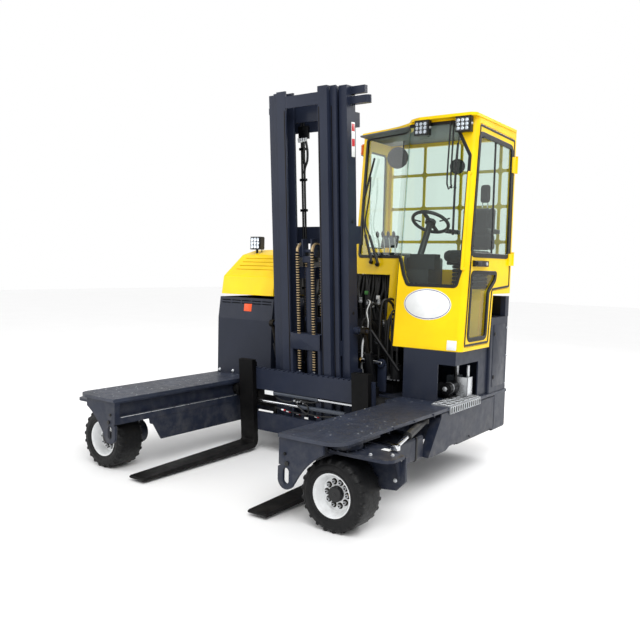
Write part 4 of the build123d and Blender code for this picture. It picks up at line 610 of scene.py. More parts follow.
STICKER_RED = plastic("red_sticker_ink", "#c5202b", 0.38)   # matt red print on film
coat(MAST_PAINT, "mast_outer", "mast_middle", "mast_inner")
for x, low, high in ((-176, 655, 2775), (-152, 655, 2775), (14, 655, 1905), (40, 655, 1905)):
    region("mast_outer", HOSE, (x - 10, MAST + 219, low), (x + 10, MAST + 235, high), leaned=True)
mast_details = Piece("mast_outer_details", "mast_outer", leaned=True)
mast_details.add(block((-196, -96), (MAST + 212, MAST + 236), (2640, 2742), 2, 4), BLACK_PAINT)
for x in (-184, -160, -136, -112):
    mast_details.add(turned([(0, 11), (18, 11), (20, 9), (34, 9)], (x, MAST + 205, 2646), (0, 0, -1), 6),
                     ZINC)
mast_details.add(tube([(-136, MAST + 205, 2616), (-134, MAST + 203, 2560), (-140, MAST + 206, 2500),
                       (-160, MAST + 214, 2470), (-170, MAST + 222, 2440)], 10, 10), HOSE)
mast_details.add(tube([(-112, MAST + 205, 2616), (-96, MAST + 200, 2540), (-104, MAST + 205, 2460),
                       (-136, MAST + 216, 2410), (-150, MAST + 224, 2360)], 10, 10), HOSE)
for z in (900, 1150, 1400, 2050, 2300, 2550):
    mast_details.add(block((-196, -132), (MAST + 216, MAST + 242), (z, z + 22), 2, 5), BLACK_PAINT)
mast_details.add(slab(rectangle(48, 262, 3), 0.8, (380.2, 1503, 2588), (0, 1, 0), (0, 0, 1), 0.3), STICKER)
for z in (2680, 2566):
    mast_details.add(slab(rectangle(40, 58, 2), 1.1, (380.2, 1503, z), (0, 1, 0), (0, 0, 1), 0.3),
                     STICKER_RED)
for sign in (-1, 1):
    for z in (700, 1850, 2740):
        for across in (330, 362):
            mast_details.several(bolt((sign * across, MAST + 254, z), (0, 1, 0), 19), ZINC)
    mast_details.several([bar((sign * 379, MAST + 130, z), (sign * 383, MAST + 130, z), 13, 1.0)
                          for z in (520, 1240, 1960)], BLACK_PAINT)
mast_details.done()
for stage, near, front_offset in (("mast_inner", 162, 0), ("mast_middle", 256, 35)):
    strips = Piece(stage + "_wear_strips", stage, leaned=True)
    for sign in (-1, 1):
        strips.add(slab(rectangle(9, 2560, 2), 0.6, (sign * (near + 7), MAST + front_offset + 0.1, 1560)),
                   DARK_STEEL)
    strips.done()

# Lift head and chains: the free-lift cylinder raises a yoke with two sheaves. Leaf chains of
# pressed plates and pins run over them to the carriage, held by threaded anchors. The front
# falls shorten as the forks rise, so their mesh follows the joint.
CHAIN_PITCH = 20.4      # drawn with one rung a pitch, so that the links show
CHAIN_X = 74
SHEAVE_LEVEL = 1729


def leaf_chain(piece, x, behind, low, high):
    """Each pitch is two thin plates, wider apart on every other one, waisted in the middle, and a
    bright block for the pins between them."""
    count = int((high - low) / CHAIN_PITCH)
    pitch = (high - low) / count
    link = rounded([(-6.5, -6.5), (6.5, -6.5), (6.5, pitch + 6.5), (-6.5, pitch + 6.5)], 6.4, 5)
    link[:, 0] *= np.interp(np.abs(link[:, 1] - pitch / 2), (0, pitch * 0.5), (0.72, 1.0))
    for i in range(count):
        z = low + pitch * i
        offsets = (-8.4, 5.8) if i % 2 else (-4.6, 2.0)
        for place in offsets:
            trim = link.copy()
            trim[:, 1] = np.clip(trim[:, 1], 1.0 if i == 0 else -9, pitch - 1.0 if i == count - 1 else 99)
            piece.add(slab(trim, 2.6, (x + place, behind, z), (0, 1, 0), (0, 0, 1), 0.3), DARK_STEEL)
        if i:
            piece.add(block((x - 12.5, x + 12.5), (behind - 8, behind + 8), (z - 4.2, z + 4.2), 1.2, 2.5),
                      CHAIN)


CHAIN = steel("oiled_chain_steel", "#b7a07a", 0.4, (4, 4, 4), 0.6)      # bronze with old grease
coat(MAST_PAINT, "lift_head")
coat(CHAIN, "lift_chain_front", "lift_chain_rear")
front_falls = Piece("lift_chain_links_front", "lift_head", leaned=True)
rear_falls = Piece("lift_chain_links_rear", "mast_inner", leaned=True)
for x in (-CHAIN_X, CHAIN_X):
    leaf_chain(front_falls, x, MAST + 8, 752, SHEAVE_LEVEL)
    leaf_chain(rear_falls, x, MAST + 128, 1188, SHEAVE_LEVEL)
front_falls = front_falls.done("lift_chain_front")
rear_falls.done("lift_chain_rear")
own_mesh(front_falls)
region("lift_head", CHAIN, (-84, MAST + 1, 1725), (-64.5, MAST + 135, 1800), leaned=True)
region("lift_head", CHAIN, (64.5, MAST + 1, 1725), (84, MAST + 135, 1800), leaned=True)
region("lift_head", CHROME, (-29, MAST + 50, 1560), (29, MAST + 116, 1640), leaned=True)
anchors = Piece("chain_anchor_details", "fork_carriage", leaned=True)
for x in (-CHAIN_X, CHAIN_X):
    anchors.add(turned([(0, 8), (36, 8), (37, 7)], (x, MAST + 8, 716), (0, 0, 1), 16), ZINC)
    anchors.several([turned([(0, 15), (11, 15), (12, 13)], (x, MAST + 8, z), (0, 0, -1), 6)
                     for z in (690, 704)], ZINC)
anchors.done()

# Fork carriage and forks: two bars and side plates welded to one frame, with forged forks hung
# on it and two cylinders that shift them. Grey tubes, a bare white end block, a small valve
# block, hoses with red caps, and a guard plate before the chains.
TUBE_GREY = paint("grey_cylinder_paint", "#3f454f", 0.35, 0.3, dust_amount=0.1)     # cleaner and glossier
FORK = paint("black_fork_paint", "#050506", 0.5, 0.0, dust_amount=0.04, edge=2.0, chips="#55524f",
             chip_amount=0.5, shine=0.15)                                           # dull, chipped to steel
coat(MAST_PAINT, "fork_carriage")
coat(FORK, "fork_cab_side", "fork_engine_side")
region("fork_carriage", TUBE_GREY, (-323, MAST - 49, 520), (138, MAST - 12, 556), leaned=True)
region("fork_carriage", TUBE_GREY, (-60, MAST - 49, 437), (398, MAST - 12, 473), leaned=True)
region("fork_carriage", STICKER, (-416, MAST - 47, 519), (-322, MAST - 12, 557), leaned=True)
region("fork_cab_side", CHROME, (20, MAST - 42, 526), (483, MAST - 18, 550), leaned=True)
region("fork_engine_side", CHROME, (-483, MAST - 42, 443), (52, MAST - 18, 467), leaned=True)
carriage = Piece("carriage_fittings", "fork_carriage", leaned=True)
carriage.add(block((-120, 30), (MAST - 26, MAST - 2), (484, 518), 2, 3), BLACK_PAINT)
for i, x in enumerate((-104, -72, -38, -4)):
    carriage.add(turned([(0, 9), (14, 9), (15, 7), (24, 7)], (x, MAST - 26, 501 - 8 * (i % 2)), (0, -1, 0),
                        6), ZINC)
CARRIAGE_HOSES = (
    [(-104, MAST - 44, 501), (-130, MAST - 52, 492), (-210, MAST - 44, 486), (-300, MAST - 26, 500),
     (-318, MAST - 18, 520)],
    [(-72, MAST - 44, 493), (-60, MAST - 54, 478), (10, MAST - 50, 420), (120, MAST - 34, 404),
     (260, MAST - 26, 412), (380, MAST - 22, 436)],
    [(-38, MAST - 44, 501), (0, MAST - 52, 512), (70, MAST - 40, 508), (130, MAST - 26, 520)],
    [(-4, MAST - 44, 493), (40, MAST - 50, 480), (44, MAST - 46, 420), (-20, MAST - 36, 396),
     (-160, MAST - 26, 400), (-330, MAST - 14, 408)])
for path in CARRIAGE_HOSES:
    carriage.add(tube(path, 6.5, 8), HOSE)
for x, z in ((-250, 402), (-196, 396), (-90, 390), (96, 392)):
    carriage.add(turned([(0, 9), (22, 9), (24, 7)], (x, MAST - 24, z), (1, 0, 0), 6), ZINC)
    carriage.add(turned([(0, 7.5), (14, 7.5), (16, 5)], (x + 24, MAST - 24, z), (1, 0, 0), 14), STICKER_RED)
for x in (-600, 600):
    carriage.several(bolt((x, MAST - 47, 276), (0, -1, 0), 17), BLACK_PAINT)
carriage.add(block((-152, 152), (MAST - 16, MAST - 5), (934, 1064), 2.5, 8), MAST_PAINT)
for x in (-152, 141):
    carriage.add(block((x, x + 11), (MAST - 16, MAST + 34), (934, 1064), 2, 2), MAST_PAINT)
carriage.done()

# Bay behind the mast: hydraulic tank, valve bank and the hoses between them and the cab. Rubber
# hoses end in pressed steel sleeves; a bent pipe, a strut and a chromed pin stand before them.
# Two black blocks behind the hoses are painted shade in the deep bay.
CABLE_GREEN = plastic("green_cable_sleeve", "#3f7a3a", 0.5)     # faded green
CABLE_WHITE = plastic("white_cable_sleeve", "#d5d6d4", 0.5)     # greyed white
coat(BLACK_PAINT, "hydraulic_tank", "valve_bank")
bay = Piece("bay_hoses_and_pipes")
bay.add(tube([(290, 1690, 1102), (334, 1690, 1094), (342, 1690, 1060), (300, 1690, 975), (300, 1690, 744),
              (304, 1720, 660)], 8, 8), WHITE_RIM)
bay.add(bar((320, 1700, 1142), (647, 1700, 774), 15), BLACK_PAINT)
bay.add(bar((318, 1650, 836), (520, 1650, 828), 17, 2), CHROME)
bay.add(turned([(0, 24), (14, 24), (18, 20), (18, 8), (26, 7)], (322, 1650, 836), (-1, 0, 0.04), 6), BRASS)
bay.add(block((469, 549), (1660, 1674), (594, 826), 2, 8), MAST_PAINT)
bay.add(turned([(0, 34), (26, 34), (28, 31)], (509, 1640, 828), (0, 1, 0), 28), MAST_PAINT)
bay.add(block((330, 420), (1668, 1690), (594, 850), 2, 4), BLACK_PAINT)
rng = np.random.default_rng(11)
for i in range(13):
    x, top = 250 + 34 * i, 1130 + 260 * rng.random()
    lean_x, behind = rng.uniform(-70, 90), rng.uniform(1690, 1790)
    path = [(x, behind + 30, 700), (x + lean_x * 0.2, behind, 860),
            (x + lean_x * 0.6, behind - 14, top - 130), (x + lean_x, behind + 10, top),
            (x + lean_x + 46, behind + 70, top - 30), (x + lean_x + 60, behind + 130, top - 170)]
    bay.add(tube(path, (9.5, 8, 12)[i % 3], 14, 12), HOSE)
    for j in (0, 5):
        step = unit(np.subtract(path[1 if j == 0 else 4], path[j]))
        bay.add(turned([(-14, 13), (16, 13), (18, 11), (40, 11)], path[j], step, 6), ZINC)
for i in range(38):
    x, wave = -500 + 24 * i, rng.uniform(-26, 26, 3)
    bay.add(tube([(x + wave[0], 2002, 1150), (x + wave[1], 1984 + wave[2] * 0.4, 1290),
                  (x + wave[2], 1990, 1420), (x, 2010, 1543)], rng.uniform(9, 14), 20, 10), HOSE)
    if i % 3 == 0:
        bay.add(turned([(0, 17), (20, 17), (22, 14), (44, 14)], (x + wave[1], 1976, 1260 + 9 * (i % 5)),
                       (0.1, -0.2, 1), 6), ZINC)
    if i % 5 == 2:
        bay.add(block((x - 16, x + 16), (1960, 1976), (1330 + 12 * (i % 4), 1362 + 12 * (i % 4)), 2, 5),
                (CABLE_WHITE, CABLE_GREEN)[i % 2])
for i, material in enumerate((HOSE, CABLE_WHITE, HOSE)):
    bay.add(tube([(330 + 16 * i, 1690, 1090 + 8 * i), (338 + 18 * i, 1676, 1160),
                  (322 + 14 * i, 1684, 1240), (342 + 12 * i, 1700, 1316), (300 + 10 * i, 1740, 1330)], 5,
                 10, 10), material)
# two black blocks behind the hoses, under the cab's arm: painted shade in the deep bay
bay.add(block((-70, 62), (2064, 2530), (1238, 1540), 4, 10), BLACK_PAINT)
bay.add(block((62, 424), (2064, 2530), (1512, 1540), 4, 10), BLACK_PAINT)
bay.add(block((560, 640), (1690, 1760), (930, 1010), 3, 6), BLACK_PAINT)
bay.add(turned([(0, 44), (6, 48), (110, 48), (118, 40), (118, 14), (130, 12)], (600, 1740, 700), (0, 0, 1),
               36), PLASTIC)
bay.done()

# Pedestal and service bay: folded sheet under the cab, open at its front corner. Inside are a
# filter with a zinc band, a bracket, a pale pipe and hoses, all bolted to the floor plate.
GREY_PLASTIC = plastic("grey_moulded_plastic", "#4b5157", 0.5)  # mid grey, faintly patchy
coat(ANTHRACITE, "cab_pedestal")
coat(BLACK_PAINT, "bay_fittings")
region("bay_fittings", ZINC, (1020, 1930, 764), (1060, 1970, 870))
region("bay_fittings", GREY_PLASTIC, (980, 1878, 590), (1074, 1992, 762))
service = Piece("service_bay_details")
service.add(turned([(0, 47.5), (8, 47.5)], (1070, 1740, 680), (0, 1, 0), 36), ZINC)
service.add(turned([(0, 20), (10, 20), (12, 17)], (1070, 1680, 680), (0, -1, 0), 6), ZINC)
service.add(tube([(1070, 1866, 700), (1062, 1880, 760), (1050, 1890, 830), (1030, 1900, 868)], 11, 8), HOSE)
service.add(tube([(1100, 1700, 604), (1090, 1760, 606), (1096, 1860, 604), (1080, 1930, 610),
                  (1060, 1980, 640)], 9, 12), HOSE)
service.add(block((1088, 1180), (1846, 1852), (612, 760), 1.5, 2), ZINC)
service.add(block((1174, 1180), (1846, 1940), (612, 760), 1.5, 2), ZINC)
service.add(bar((1150, 1916, 700), (1150, 1916, 850), 13), ZINC)
service.add(turned([(0, 33), (40, 33), (42, 30)], (1010, 1700, 690), (0, 1, 0), 28), PLASTIC)
service.done()

# Side locker, counterweight and tail: a steel cupboard with a latched door behind the pedestal, a
# black block over it that is painted shade in the recess there, and a cast counterweight with round
# tail lamps and a towing pin.
LOCKER_TOP, CAB_SHELF = 1217, 1412
TAIL_RED = plastic("red_lamp_lens", "#b0141c", 0.15, Coat_Weight=0.5)   # glossy clear red
coat(ANTHRACITE, "counterweight", "side_locker")
rear = Piece("rear_details")
rear.add(slab(rounded([(-130, -260), (130, -260), (130, 260), (-130, 260)], 22), 2.5, (1217, 2366, 900),
              (0, 1, 0), (0, 0, 1)), ANTHRACITE)
for z in (720, 1080):
    rear.add(turned([(0, 17), (4, 17), (6, 14), (6, 5), (3, 4)], (1219.5, 2265, z), (1, 0, 0), 24),
             BLACK_PAINT)
for z in (640, 880, 1120):
    rear.several(bolt((1217, 2534, z), (1, 0, 0), 13), ZINC)
# a black block: painted shade in the recess over the locker
rear.add(block((790, 1168), (2500, 2532), (LOCKER_TOP, CAB_SHELF - 24), 4, 6), BLACK_PAINT)
rear.add(tube([(1120, 2300, LOCKER_TOP), (1126, 2310, LOCKER_TOP + 90), (1090, 2400, LOCKER_TOP + 130),
               (1060, 2490, LOCKER_TOP + 90)], 14, 14), HOSE)
for x in (-1150, 1150):
    rear.add(turned([(0, 44), (4, 44), (6, 41)], (x, 2552, 690), (0, 1, 0), 40), PLASTIC)
    rear.add(turned([(0, 38), (6, 37), (9, 30), (10, 12)], (x, 2553, 690), (0, 1, 0), 40), TAIL_RED)
    rear.add(slab(rectangle(120, 40, 8), 1.2, (x * 0.86, 2560, 420), (-1, 0, 0), (0, 0, 1), 0.4), STICKER_RED)
rear.add(slab(rounded([(-90, -60), (90, -60), (90, 60), (-90, 60)], 20), 6, (0, 2560, 420), (-1, 0, 0),
              (0, 0, 1)), BLACK_PAINT)
rear.add(turned([(0, 18), (9, 18), (10, 15)], (0, 2560, 420), (0, 1, 0), 24), ZINC)
rear.done()

# Cab: panels of folded sheet welded to a frame and sprayed yellow, with a curved left front. A
# bare white oval with a thin blue line is stuck on the front panel, and a bare label below it.
CAB_RAKE = 0.08995      # the windscreen leans back this much for each unit of height
BADGE = (915, 1331)     # the oval's middle, across and up
LABEL = (1146, 1030)
YELLOW = paint("gloss_yellow_paint", "#fbd000", 0.34, 0.03, dust="#c9b27a", dust_amount=0.12, chips="#b08d10",
               chip_amount=0.2)                                 # lemon yellow, a little duller in patches
STICKER_BLUE = plastic("blue_sticker_ink", "#2d3a7c", 0.35)     # deep blue print


def front(x, z):
    """The cab's front face, as its distance behind the decks' front edge: a plane that leans back,
    plus the plan's curve at the left."""
    plan = np.interp(x, (-4, 440, 470, 502, 520, 550, 572, 596, 618, 638),
                     (350, 230, 220, 203, 185, 154, 122, 84, 38, 0))
    return 1600 + CAB_RAKE * (np.asarray(z, float) - 985) + plan


def ellipse(width, height, count=72):
    """Points round an oval."""
    angle = np.linspace(0, 2 * np.pi, count, endpoint=False)
    return np.stack([width / 2 * np.cos(angle), height / 2 * np.sin(angle)], -1)


coat(YELLOW, "cab_shell", "cab_door", "cab_roof")
badge = Piece("bare_oval_badge")
for width, height, depth, material in ((406, 242, 1.2, STICKER), (394, 230, 1.6, STICKER_BLUE),
                                       (384, 220, 2.0, STICKER)):
    centre = (BADGE[0], float(front(*BADGE)), BADGE[1])
    badge.add(slab(ellipse(width, height), depth, centre, (1, 0, 0), (0, CAB_RAKE, 1), 0.4), material)
badge.add(slab(rectangle(80, 74, 3), 0.8, (LABEL[0], float(front(*LABEL)), LABEL[1]), (1, 0, 0),
               (0, CAB_RAKE, 1), 0.3), STICKER)
badge.done()

# Glass and seals: tinted panes held by black rubber round the windscreen, the side window and the
# door's two panes, and a wider seal in the joint round the door. The door's handle and lock are
# screwed on.


def tinted_glass(name, hex_value):
    """Thin glass, seen through without bending: clear and mirrored parts mixed by the Fresnel law on
    the outer side, with wipe marks of 180 mm in the gloss."""
    g = Finish(name)
    clear = g.add("BsdfTransparent", {"Color": colour(hex_value)})
    gloss = g.add("BsdfGlossy", {"Color": colour("#f2f6f6"),
                                 "Roughness": g.patches(180, 5, 0.45, 0.8, 0.02, 0.07)})
    outer = g.add("Math", {0: 1.0, 1: g.add("NewGeometry", out="Backfacing")}, operation="SUBTRACT")
    mirror = g.add("Math", {0: g.add("Fresnel", {"IOR": 1.45}), 1: 0.02}, operation="ADD")
    mirror = g.add("Math", {0: mirror, 1: outer}, operation="MULTIPLY")
    both = g.add("MixShader", {0: mirror, 1: clear, 2: gloss})
    g.tree.links.new(both, g.tree.nodes["Material Output"].inputs["Surface"])
    return g.mat


def front_normal(x, z):
    """The cab front's outward direction, from its slope across and its rake."""
    slope = (front(x + 8, z) - front(x - 8, z)) / 16
    n = np.stack([slope, -np.ones_like(slope), np.full_like(slope, CAB_RAKE)], -1)
    return n / np.linalg.norm(n, axis=-1, keepdims=True)


def band(loop, normals, inner, outer, height, sink=6.0):
    """A rubber profile of six points carried round a closed loop on a surface, its points set by
    distance across the edge, from inner to outer, and height along the normal."""
    ahead = np.roll(loop, -1, 0) - np.roll(loop, 1, 0)
    ahead /= np.linalg.norm(ahead, axis=1)[:, None]
    normals = np.broadcast_to(np.asarray(normals, float), loop.shape)
    across = np.cross(ahead, normals)
    if np.sum(across * (loop - loop.mean(0))) < 0:
        across = -across
    h = height
    section = np.array([(inner, -sink), (inner, h * 0.5), (inner + h * 0.6, h), (outer - h * 0.6, h),
                        (outer, h * 0.5), (outer, -1.0)])
    points = loop[:, None] + section[None, :, :1] * across[:, None] + section[None, :, 1:] * normals[:, None]
    return grid(points, close_rows=True)


def dense(outline, step=16):
    """A closed outline with points no further apart than step."""
    runs = []
    for a, b in zip(outline, np.roll(outline, -1, 0)):
        count = max(1, int(np.linalg.norm(b - a) / step))
        runs.append(a + (b - a) * np.linspace(0, 1, count, endpoint=False)[:, None])
    return np.vstack(runs)


coat(tinted_glass("pale_green_tinted_glass", "#f3f9f6"), "cab_glass", "door_glass")     # a faint green
SCREEN = rounded([(44, 1702), (618, 1702), (650, 1690), (690, 1560), (730, 1480), (1142, 1480), (1170, 1600),
                  (1176, 2465), (1030, 2726), (44, 2726)], 26, 6)
loop = dense(SCREEN)
seals = Piece("window_seals")
seals.add(band(np.stack([loop[:, 0], front(*loop.T), loop[:, 1]], -1), front_normal(*loop.T), -9, 17, 5,
               12), SEAL)
side_loop = dense(rounded([(2175, 1775), (2175, 2640), (2478, 2640), (2478, 1775)], 36))
seals.add(band(np.stack([np.full(len(side_loop), -4.0), side_loop[:, 0], side_loop[:, 1]], -1), (-1, 0, 0),
               -12, 12, 4, 12), SEAL)
seals.add(tube([(638, float(front(638, z)) - 1, z) for z in (1010, 1300, 1500, 1672)], 2.2, 60, 8), SEAL)
seals.done()
door_seals = Piece("door_seals", "door")
UPPER_PANE = [(1716, 1712), (1800, 2644), (2478, 2630), (2478, 1712)]
LOWER_PANE = [(1704, 1062), (1740, 1588), (2230, 1588), (2210, 1520), (2082, 1430), (2058, 1062)]
DOOR_EDGE = [(1648, 1019), (1799, 2709), (2518, 2693), (2518, 1463), (2155, 1441), (2110, 1019)]
for outline, radius_mm, inner, outer, height in ((UPPER_PANE, 62, -26, 12, 6), (LOWER_PANE, 56, -22, 11, 6),
                                                 (DOOR_EDGE, 24, -19, -2, 4)):
    loop = dense(rounded(outline, radius_mm, 7))
    door_seals.add(band(np.stack([np.full(len(loop), 1225.0), loop[:, 0], loop[:, 1]], -1), (1, 0, 0),
                        inner, outer, height, 10), SEAL)
door_seals.add(block((1206, 1216), (2130, 2152), (1722, 2634), 1.5, 2), SEAL)
door_seals.add(block((1251, 1259), (1772, 1858), (1640, 1668), 3, 8), PLASTIC)
door_seals.add(turned([(0, 13), (6, 13), (8, 11), (8, 4), (5, 3)], (1251, 1960, 1653), (1, 0, 0), 24), ZINC)
door_seals.done()
region("cab_door", PLASTIC, (1226, 1745, 1620), (1262, 2012, 1682))

# Wipers: pressed steel arms, painted black, with rubber blades. A hinged pair holds the one on
# the windscreen and thicker arms the one on the curved pane, on pivots through the sheet.


def wiper(name, arms, blade_line, knobs, thick=6.5, sleeve=0):
    """Arms, a blade with its rubber edge, pivots and hinge pins; a sleeve covers the arms' lower half."""
    piece = Piece(name)
    for arm in arms:
        piece.add(tube(arm, thick, 40, 10), PLASTIC)
        if sleeve:
            middle = np.add(arm[0], np.subtract(arm[1], arm[0]) * 0.5)
            piece.add(tube([arm[0], middle, arm[1]], sleeve, 40, 12), PLASTIC)
    path = curve(blade_line, 30)
    piece.add(tube(path, thick * 1.35, 30, 10), PLASTIC)
    piece.add(tube(path + (0, 9, 0), 3.5, 30, 8), SEAL)
    for place in knobs:
        piece.add(turned([(0, 17), (20, 17), (24, 13), (24, 7), (34, 6)], place, (0, -1, 0.09), 24), PLASTIC)
    for place in (arms[0][-1], path[len(path) // 2]):
        piece.add(turned([(-12, 8), (12, 8)], place, (0, -1, 0.09), 16), PLASTIC)
    piece.done()


wiper("windscreen_wiper", [[(1012, 1728, 2716), (1021, 1684, 2252), (1056, 1682, 2228)],
                           [(1040, 1728, 2712), (1048, 1690, 2300), (1062, 1682, 2236)]],
      [(1084, 1720, 2560), (1087, 1690, 2355), (1103, 1645, 1864)],
      [(1012, 1758, 2720), (1040, 1758, 2716)])
OUTER_ARM = [(222, 1919, 1652), (124, 1962, 1883), (77, 1992, 2077), (65, 2009, 2184)]
INNER_ARM = [(299, 1897, 1636), (177, 1945, 1875), (116, 1968, 1992), (139, 1986, 2222), (134, 2009, 2387)]
SIDE_BLADE = [(76, 1984, 1799), (63, 2011, 2061), (63, 2022, 2192), (99, 2026, 2342), (130, 2029, 2462),
              (154, 2030, 2551)]
wiper("side_pane_wiper", [OUTER_ARM, INNER_ARM], SIDE_BLADE, [(203, 1950, 1648), (281, 1927, 1629)], 7, 12)

# Lamps: two work lamps over the windscreen and one on the hood, each a finned black casting with
# nine reflectors behind a clear sheet, on bolted brackets, and an amber beacon at the cab's corner.
MIRROR = steel("reflector_metal", "#eef0f2", 0.05, (60, 60, 60))                    # nearly a mirror
LAMP_GLASS = tinted_glass("clear_lamp_glass", "#fbfdff")                            # clear, with a gloss
BEACON = plastic("amber_beacon_lens", "#f0750f", 0.2, Transmission_Weight=0.3)      # glowing orange
LAMP_X = (778, 1128)
HOOD_LAMP_X = -1060


def led_panel(piece, centre, width, height, columns, rows):
    """Rows of small reflectors behind a clear sheet, facing forward."""
    x, behind, z = centre
    piece.add(slab(rectangle(width, height, 8), 7, (x, behind, z), (1, 0, 0), (0, 0, 1), 1.5), PLASTIC)
    for i in range(columns):
        for j in range(rows):
            place = (x + width * ((i + 0.5) / columns - 0.5) * 0.9, behind - 7,
                     z + height * ((j + 0.5) / rows - 0.5) * 0.9)
            cup = min(width / columns, height / rows) * 0.41
            piece.add(turned([(0, cup), (2.5, cup), (2.6, cup * 0.9), (0.4, cup * 0.45), (1.4, cup * 0.3),
                              (1.8, 1.0)], place, (0, -1, 0), 20), MIRROR)
    piece.add(slab(rectangle(width * 0.95, height * 0.95, 7), 1.6, (x, behind - 10, z), (1, 0, 0),
                   (0, 0, 1), 0.5), LAMP_GLASS)


coat(PLASTIC, "cab_lamps")
coat(YELLOW, "engine_hood")
lamps = Piece("cab_lamp_details")
for x in LAMP_X:
    led_panel(lamps, (x, 1698, 2694), 116, 100, 3, 3)
    for i in range(7):
        fin = x - 54 + 18 * i
        lamps.add(block((fin - 2, fin + 2), (1744, 1758), (2645, 2742), 0.8, 1), PLASTIC)
    lamps.add(tube([(x + 20, 1756, 2660), (x + 26, 1772, 2640), (x + 36, 1776, 2690), (x + 40, 1772, 2750)],
                   4, 8), HOSE)
    lamps.several(bolt((x - 62, 1720, 2700), (-1, 0, 0), 13), ZINC)
    lamps.several(bolt((x + 62, 1720, 2700), (1, 0, 0), 13), ZINC)
lamps.add(turned([(0, 27), (6, 27), (8, 25), (70, 22), (82, 16), (86, 8)], (-30, 2140, 2614), (0, 0, 1),
                 32), BEACON)
lamps.done()
region("cab_lamps", BEACON, (-60, 2100, 2612), (-5, 2180, 2700))
hood_lamp = Piece("hood_lamp_details", "hood")
led_panel(hood_lamp, (HOOD_LAMP_X, 1874, 1808), 118, 112, 3, 3)
for i in range(7):
    fin = HOOD_LAMP_X - 54 + 18 * i
    hood_lamp.add(block((fin - 2, fin + 2), (1928, 1942), (1756, 1860), 0.8, 1), PLASTIC)
hood_lamp.add(tube([(-1044, 1930, 1770), (-1040, 1948, 1740), (-1046, 1936, 1712), (-1048, 1916, 1702)],
                   4.5, 8), HOSE)
hood_lamp.done()
region("engine_hood", PLASTIC, (-1130, 1868, 1741), (-990, 1932, 1872))
region("engine_hood", PLASTIC, (-1075, 1885, 1704), (-1045, 1915, 1748))

# Engine house and hood: sheet walls bolted to the frame, with a louvred side panel on latches, a
# rear grille and a bare orange reflector. The engine inside is plain. The yellow hood has a black
# panel on its inner side.
GREY_PANEL = paint("grey_panel_paint", "#1b2130", 0.42)                     # a shade under the anthracite
STICKER_ORANGE = plastic("orange_reflector_film", "#f0561a", 0.3)           # bright orange film
coat(GREY_PANEL, "engine_house")
coat(BLACK_PAINT, "engine_block")
house = Piece("engine_house_details")
house.add(slab(rectangle(91, 68, 4), 1.2, (-860, 1554.6, 1212), (1, 0, 0), (0, 0.132, 1), 0.4),
          STICKER_ORANGE)
for x, z in ((-1183, 615), (-1018, 618), (-630, 637)):
    house.several(bolt((x, 1540, z), (0, -1, 0), 19), ZINC)
house.add(slab(rounded([(-430, -230), (430, -230), (430, 230), (-430, 230)], 30), 2.5, (-1212, 2030, 900),
               (0, -1, 0), (0, 0, 1)), GREY_PANEL)
for i in range(9):
    house.add(slab(rectangle(300, 12, 5), 6, (-1214, 2180, 790 + 26 * i), (0, -1, 0), (0, 0, 1), 2.5),
              GREY_PANEL)
for behind in (1650, 2410):
    house.add(turned([(0, 17), (4, 17), (6, 14), (6, 5), (3, 4)], (-1214.5, behind, 900), (-1, 0, 0), 24),
              ZINC)
for i in range(14):
    house.add(block((-1120, -680), (2550, 2559), (700 + 34 * i, 716 + 34 * i), 2.5, 3), BLACK_PAINT)
house.done()
hood_side = Piece("hood_inner_panel", "hood")
hood_side.add(slab(rounded([(1640, 1330), (2470, 1330), (2470, 1660), (2060, 1742), (1780, 1720),
                            (1640, 1480)], 40), 4, (-564, 0, 0), (0, 1, 0), (0, 0, 1)), BLACK_PAINT)
for i in range(12):
    hood_side.add(block((-560, -557), (1760 + 48 * i, 1776 + 48 * i), (1400, 1600), 1.2, 6), PLASTIC)
hood_side.done()
region("engine_hood", BLACK_PAINT, (-1200, 2500, 1290), (-560, 2552, 1330))

# Cab inside: a moulded headliner, consoles with levers and a screen, a round fan, a mirror, a
# rubber mat with pedals, and the wheel's stalks, all screwed to the shell.
FAN = (346, 2094, 2548)
coat(PLASTIC, "steering_column")
inside = Piece("cab_interior")
inside.add(slab(rounded([(40, 1960), (430, 1850), (640, 1790), (1185, 1790), (1185, 2500), (40, 2500)], 20),
                12, (0, 0, 2728), (1, 0, 0), (0, 1, 0), 2), GREY_PLASTIC)
inside.add(block((160, 410), (1990, 2300), (1560, 1735), 6, 18), PLASTIC)
inside.add(block((470, 640), (2080, 2440), (1440, 1700), 6, 22), PLASTIC)
for x in (196, 250, 304, 358):
    inside.add(tube([(x, 2080, 1733), (x + 4, 2070, 1800), (x + 2, 2050, 1868)], 5, 12, 10), ZINC)
    inside.add(turned([(0, 8), (8, 13), (30, 15), (46, 11), (54, 4)], (x + 2, 2050, 1866), (0, -0.25, 1),
                      20), PLASTIC)
inside.add(slab(rectangle(150, 110, 8), 24, (250, 2180, 1830), (1, 0.15, 0), (0, 0.35, 1), 3), PLASTIC)
inside.add(slab(rectangle(128, 88, 4), 1.2, (250, 2154, 1840), (1, 0.15, 0), (0, 0.35, 1), 0.4), GREY_PLASTIC)
inside.add(turned([(0, 88), (4, 92), (8, 92), (12, 88), (12, 84), (4, 84)], (346, 2100, 2548), (0.3, -1, 0),
                  40), PLASTIC)
for radius_mm in (20, 42, 64):
    inside.add(turned([(0, radius_mm), (3, radius_mm + 2), (6, radius_mm), (3, radius_mm - 2)],
                      (346, 2096, 2548), (0.3, -1, 0), 36), PLASTIC)
for at in np.arange(10) * np.pi / 5:
    spoke = (86 * math.cos(at), 26 * math.cos(at), 86 * math.sin(at))
    inside.add(bar(FAN, tuple(np.add(FAN, spoke)), 2.5, 0.5, 8), PLASTIC)
inside.add(turned([(0, 30), (40, 30), (50, 18)], (348, 2106, 2548), (-0.3, 1, 0), 28), PLASTIC)
inside.add(tube([(350, 2150, 2560), (356, 2170, 2620), (358, 2170, 2700)], 7, 14), PLASTIC)
inside.add(turned([(0, 52), (8, 60), (14, 60), (18, 54)], (997, 1906, 2416), (-0.35, 0.9, -0.1), 36), PLASTIC)
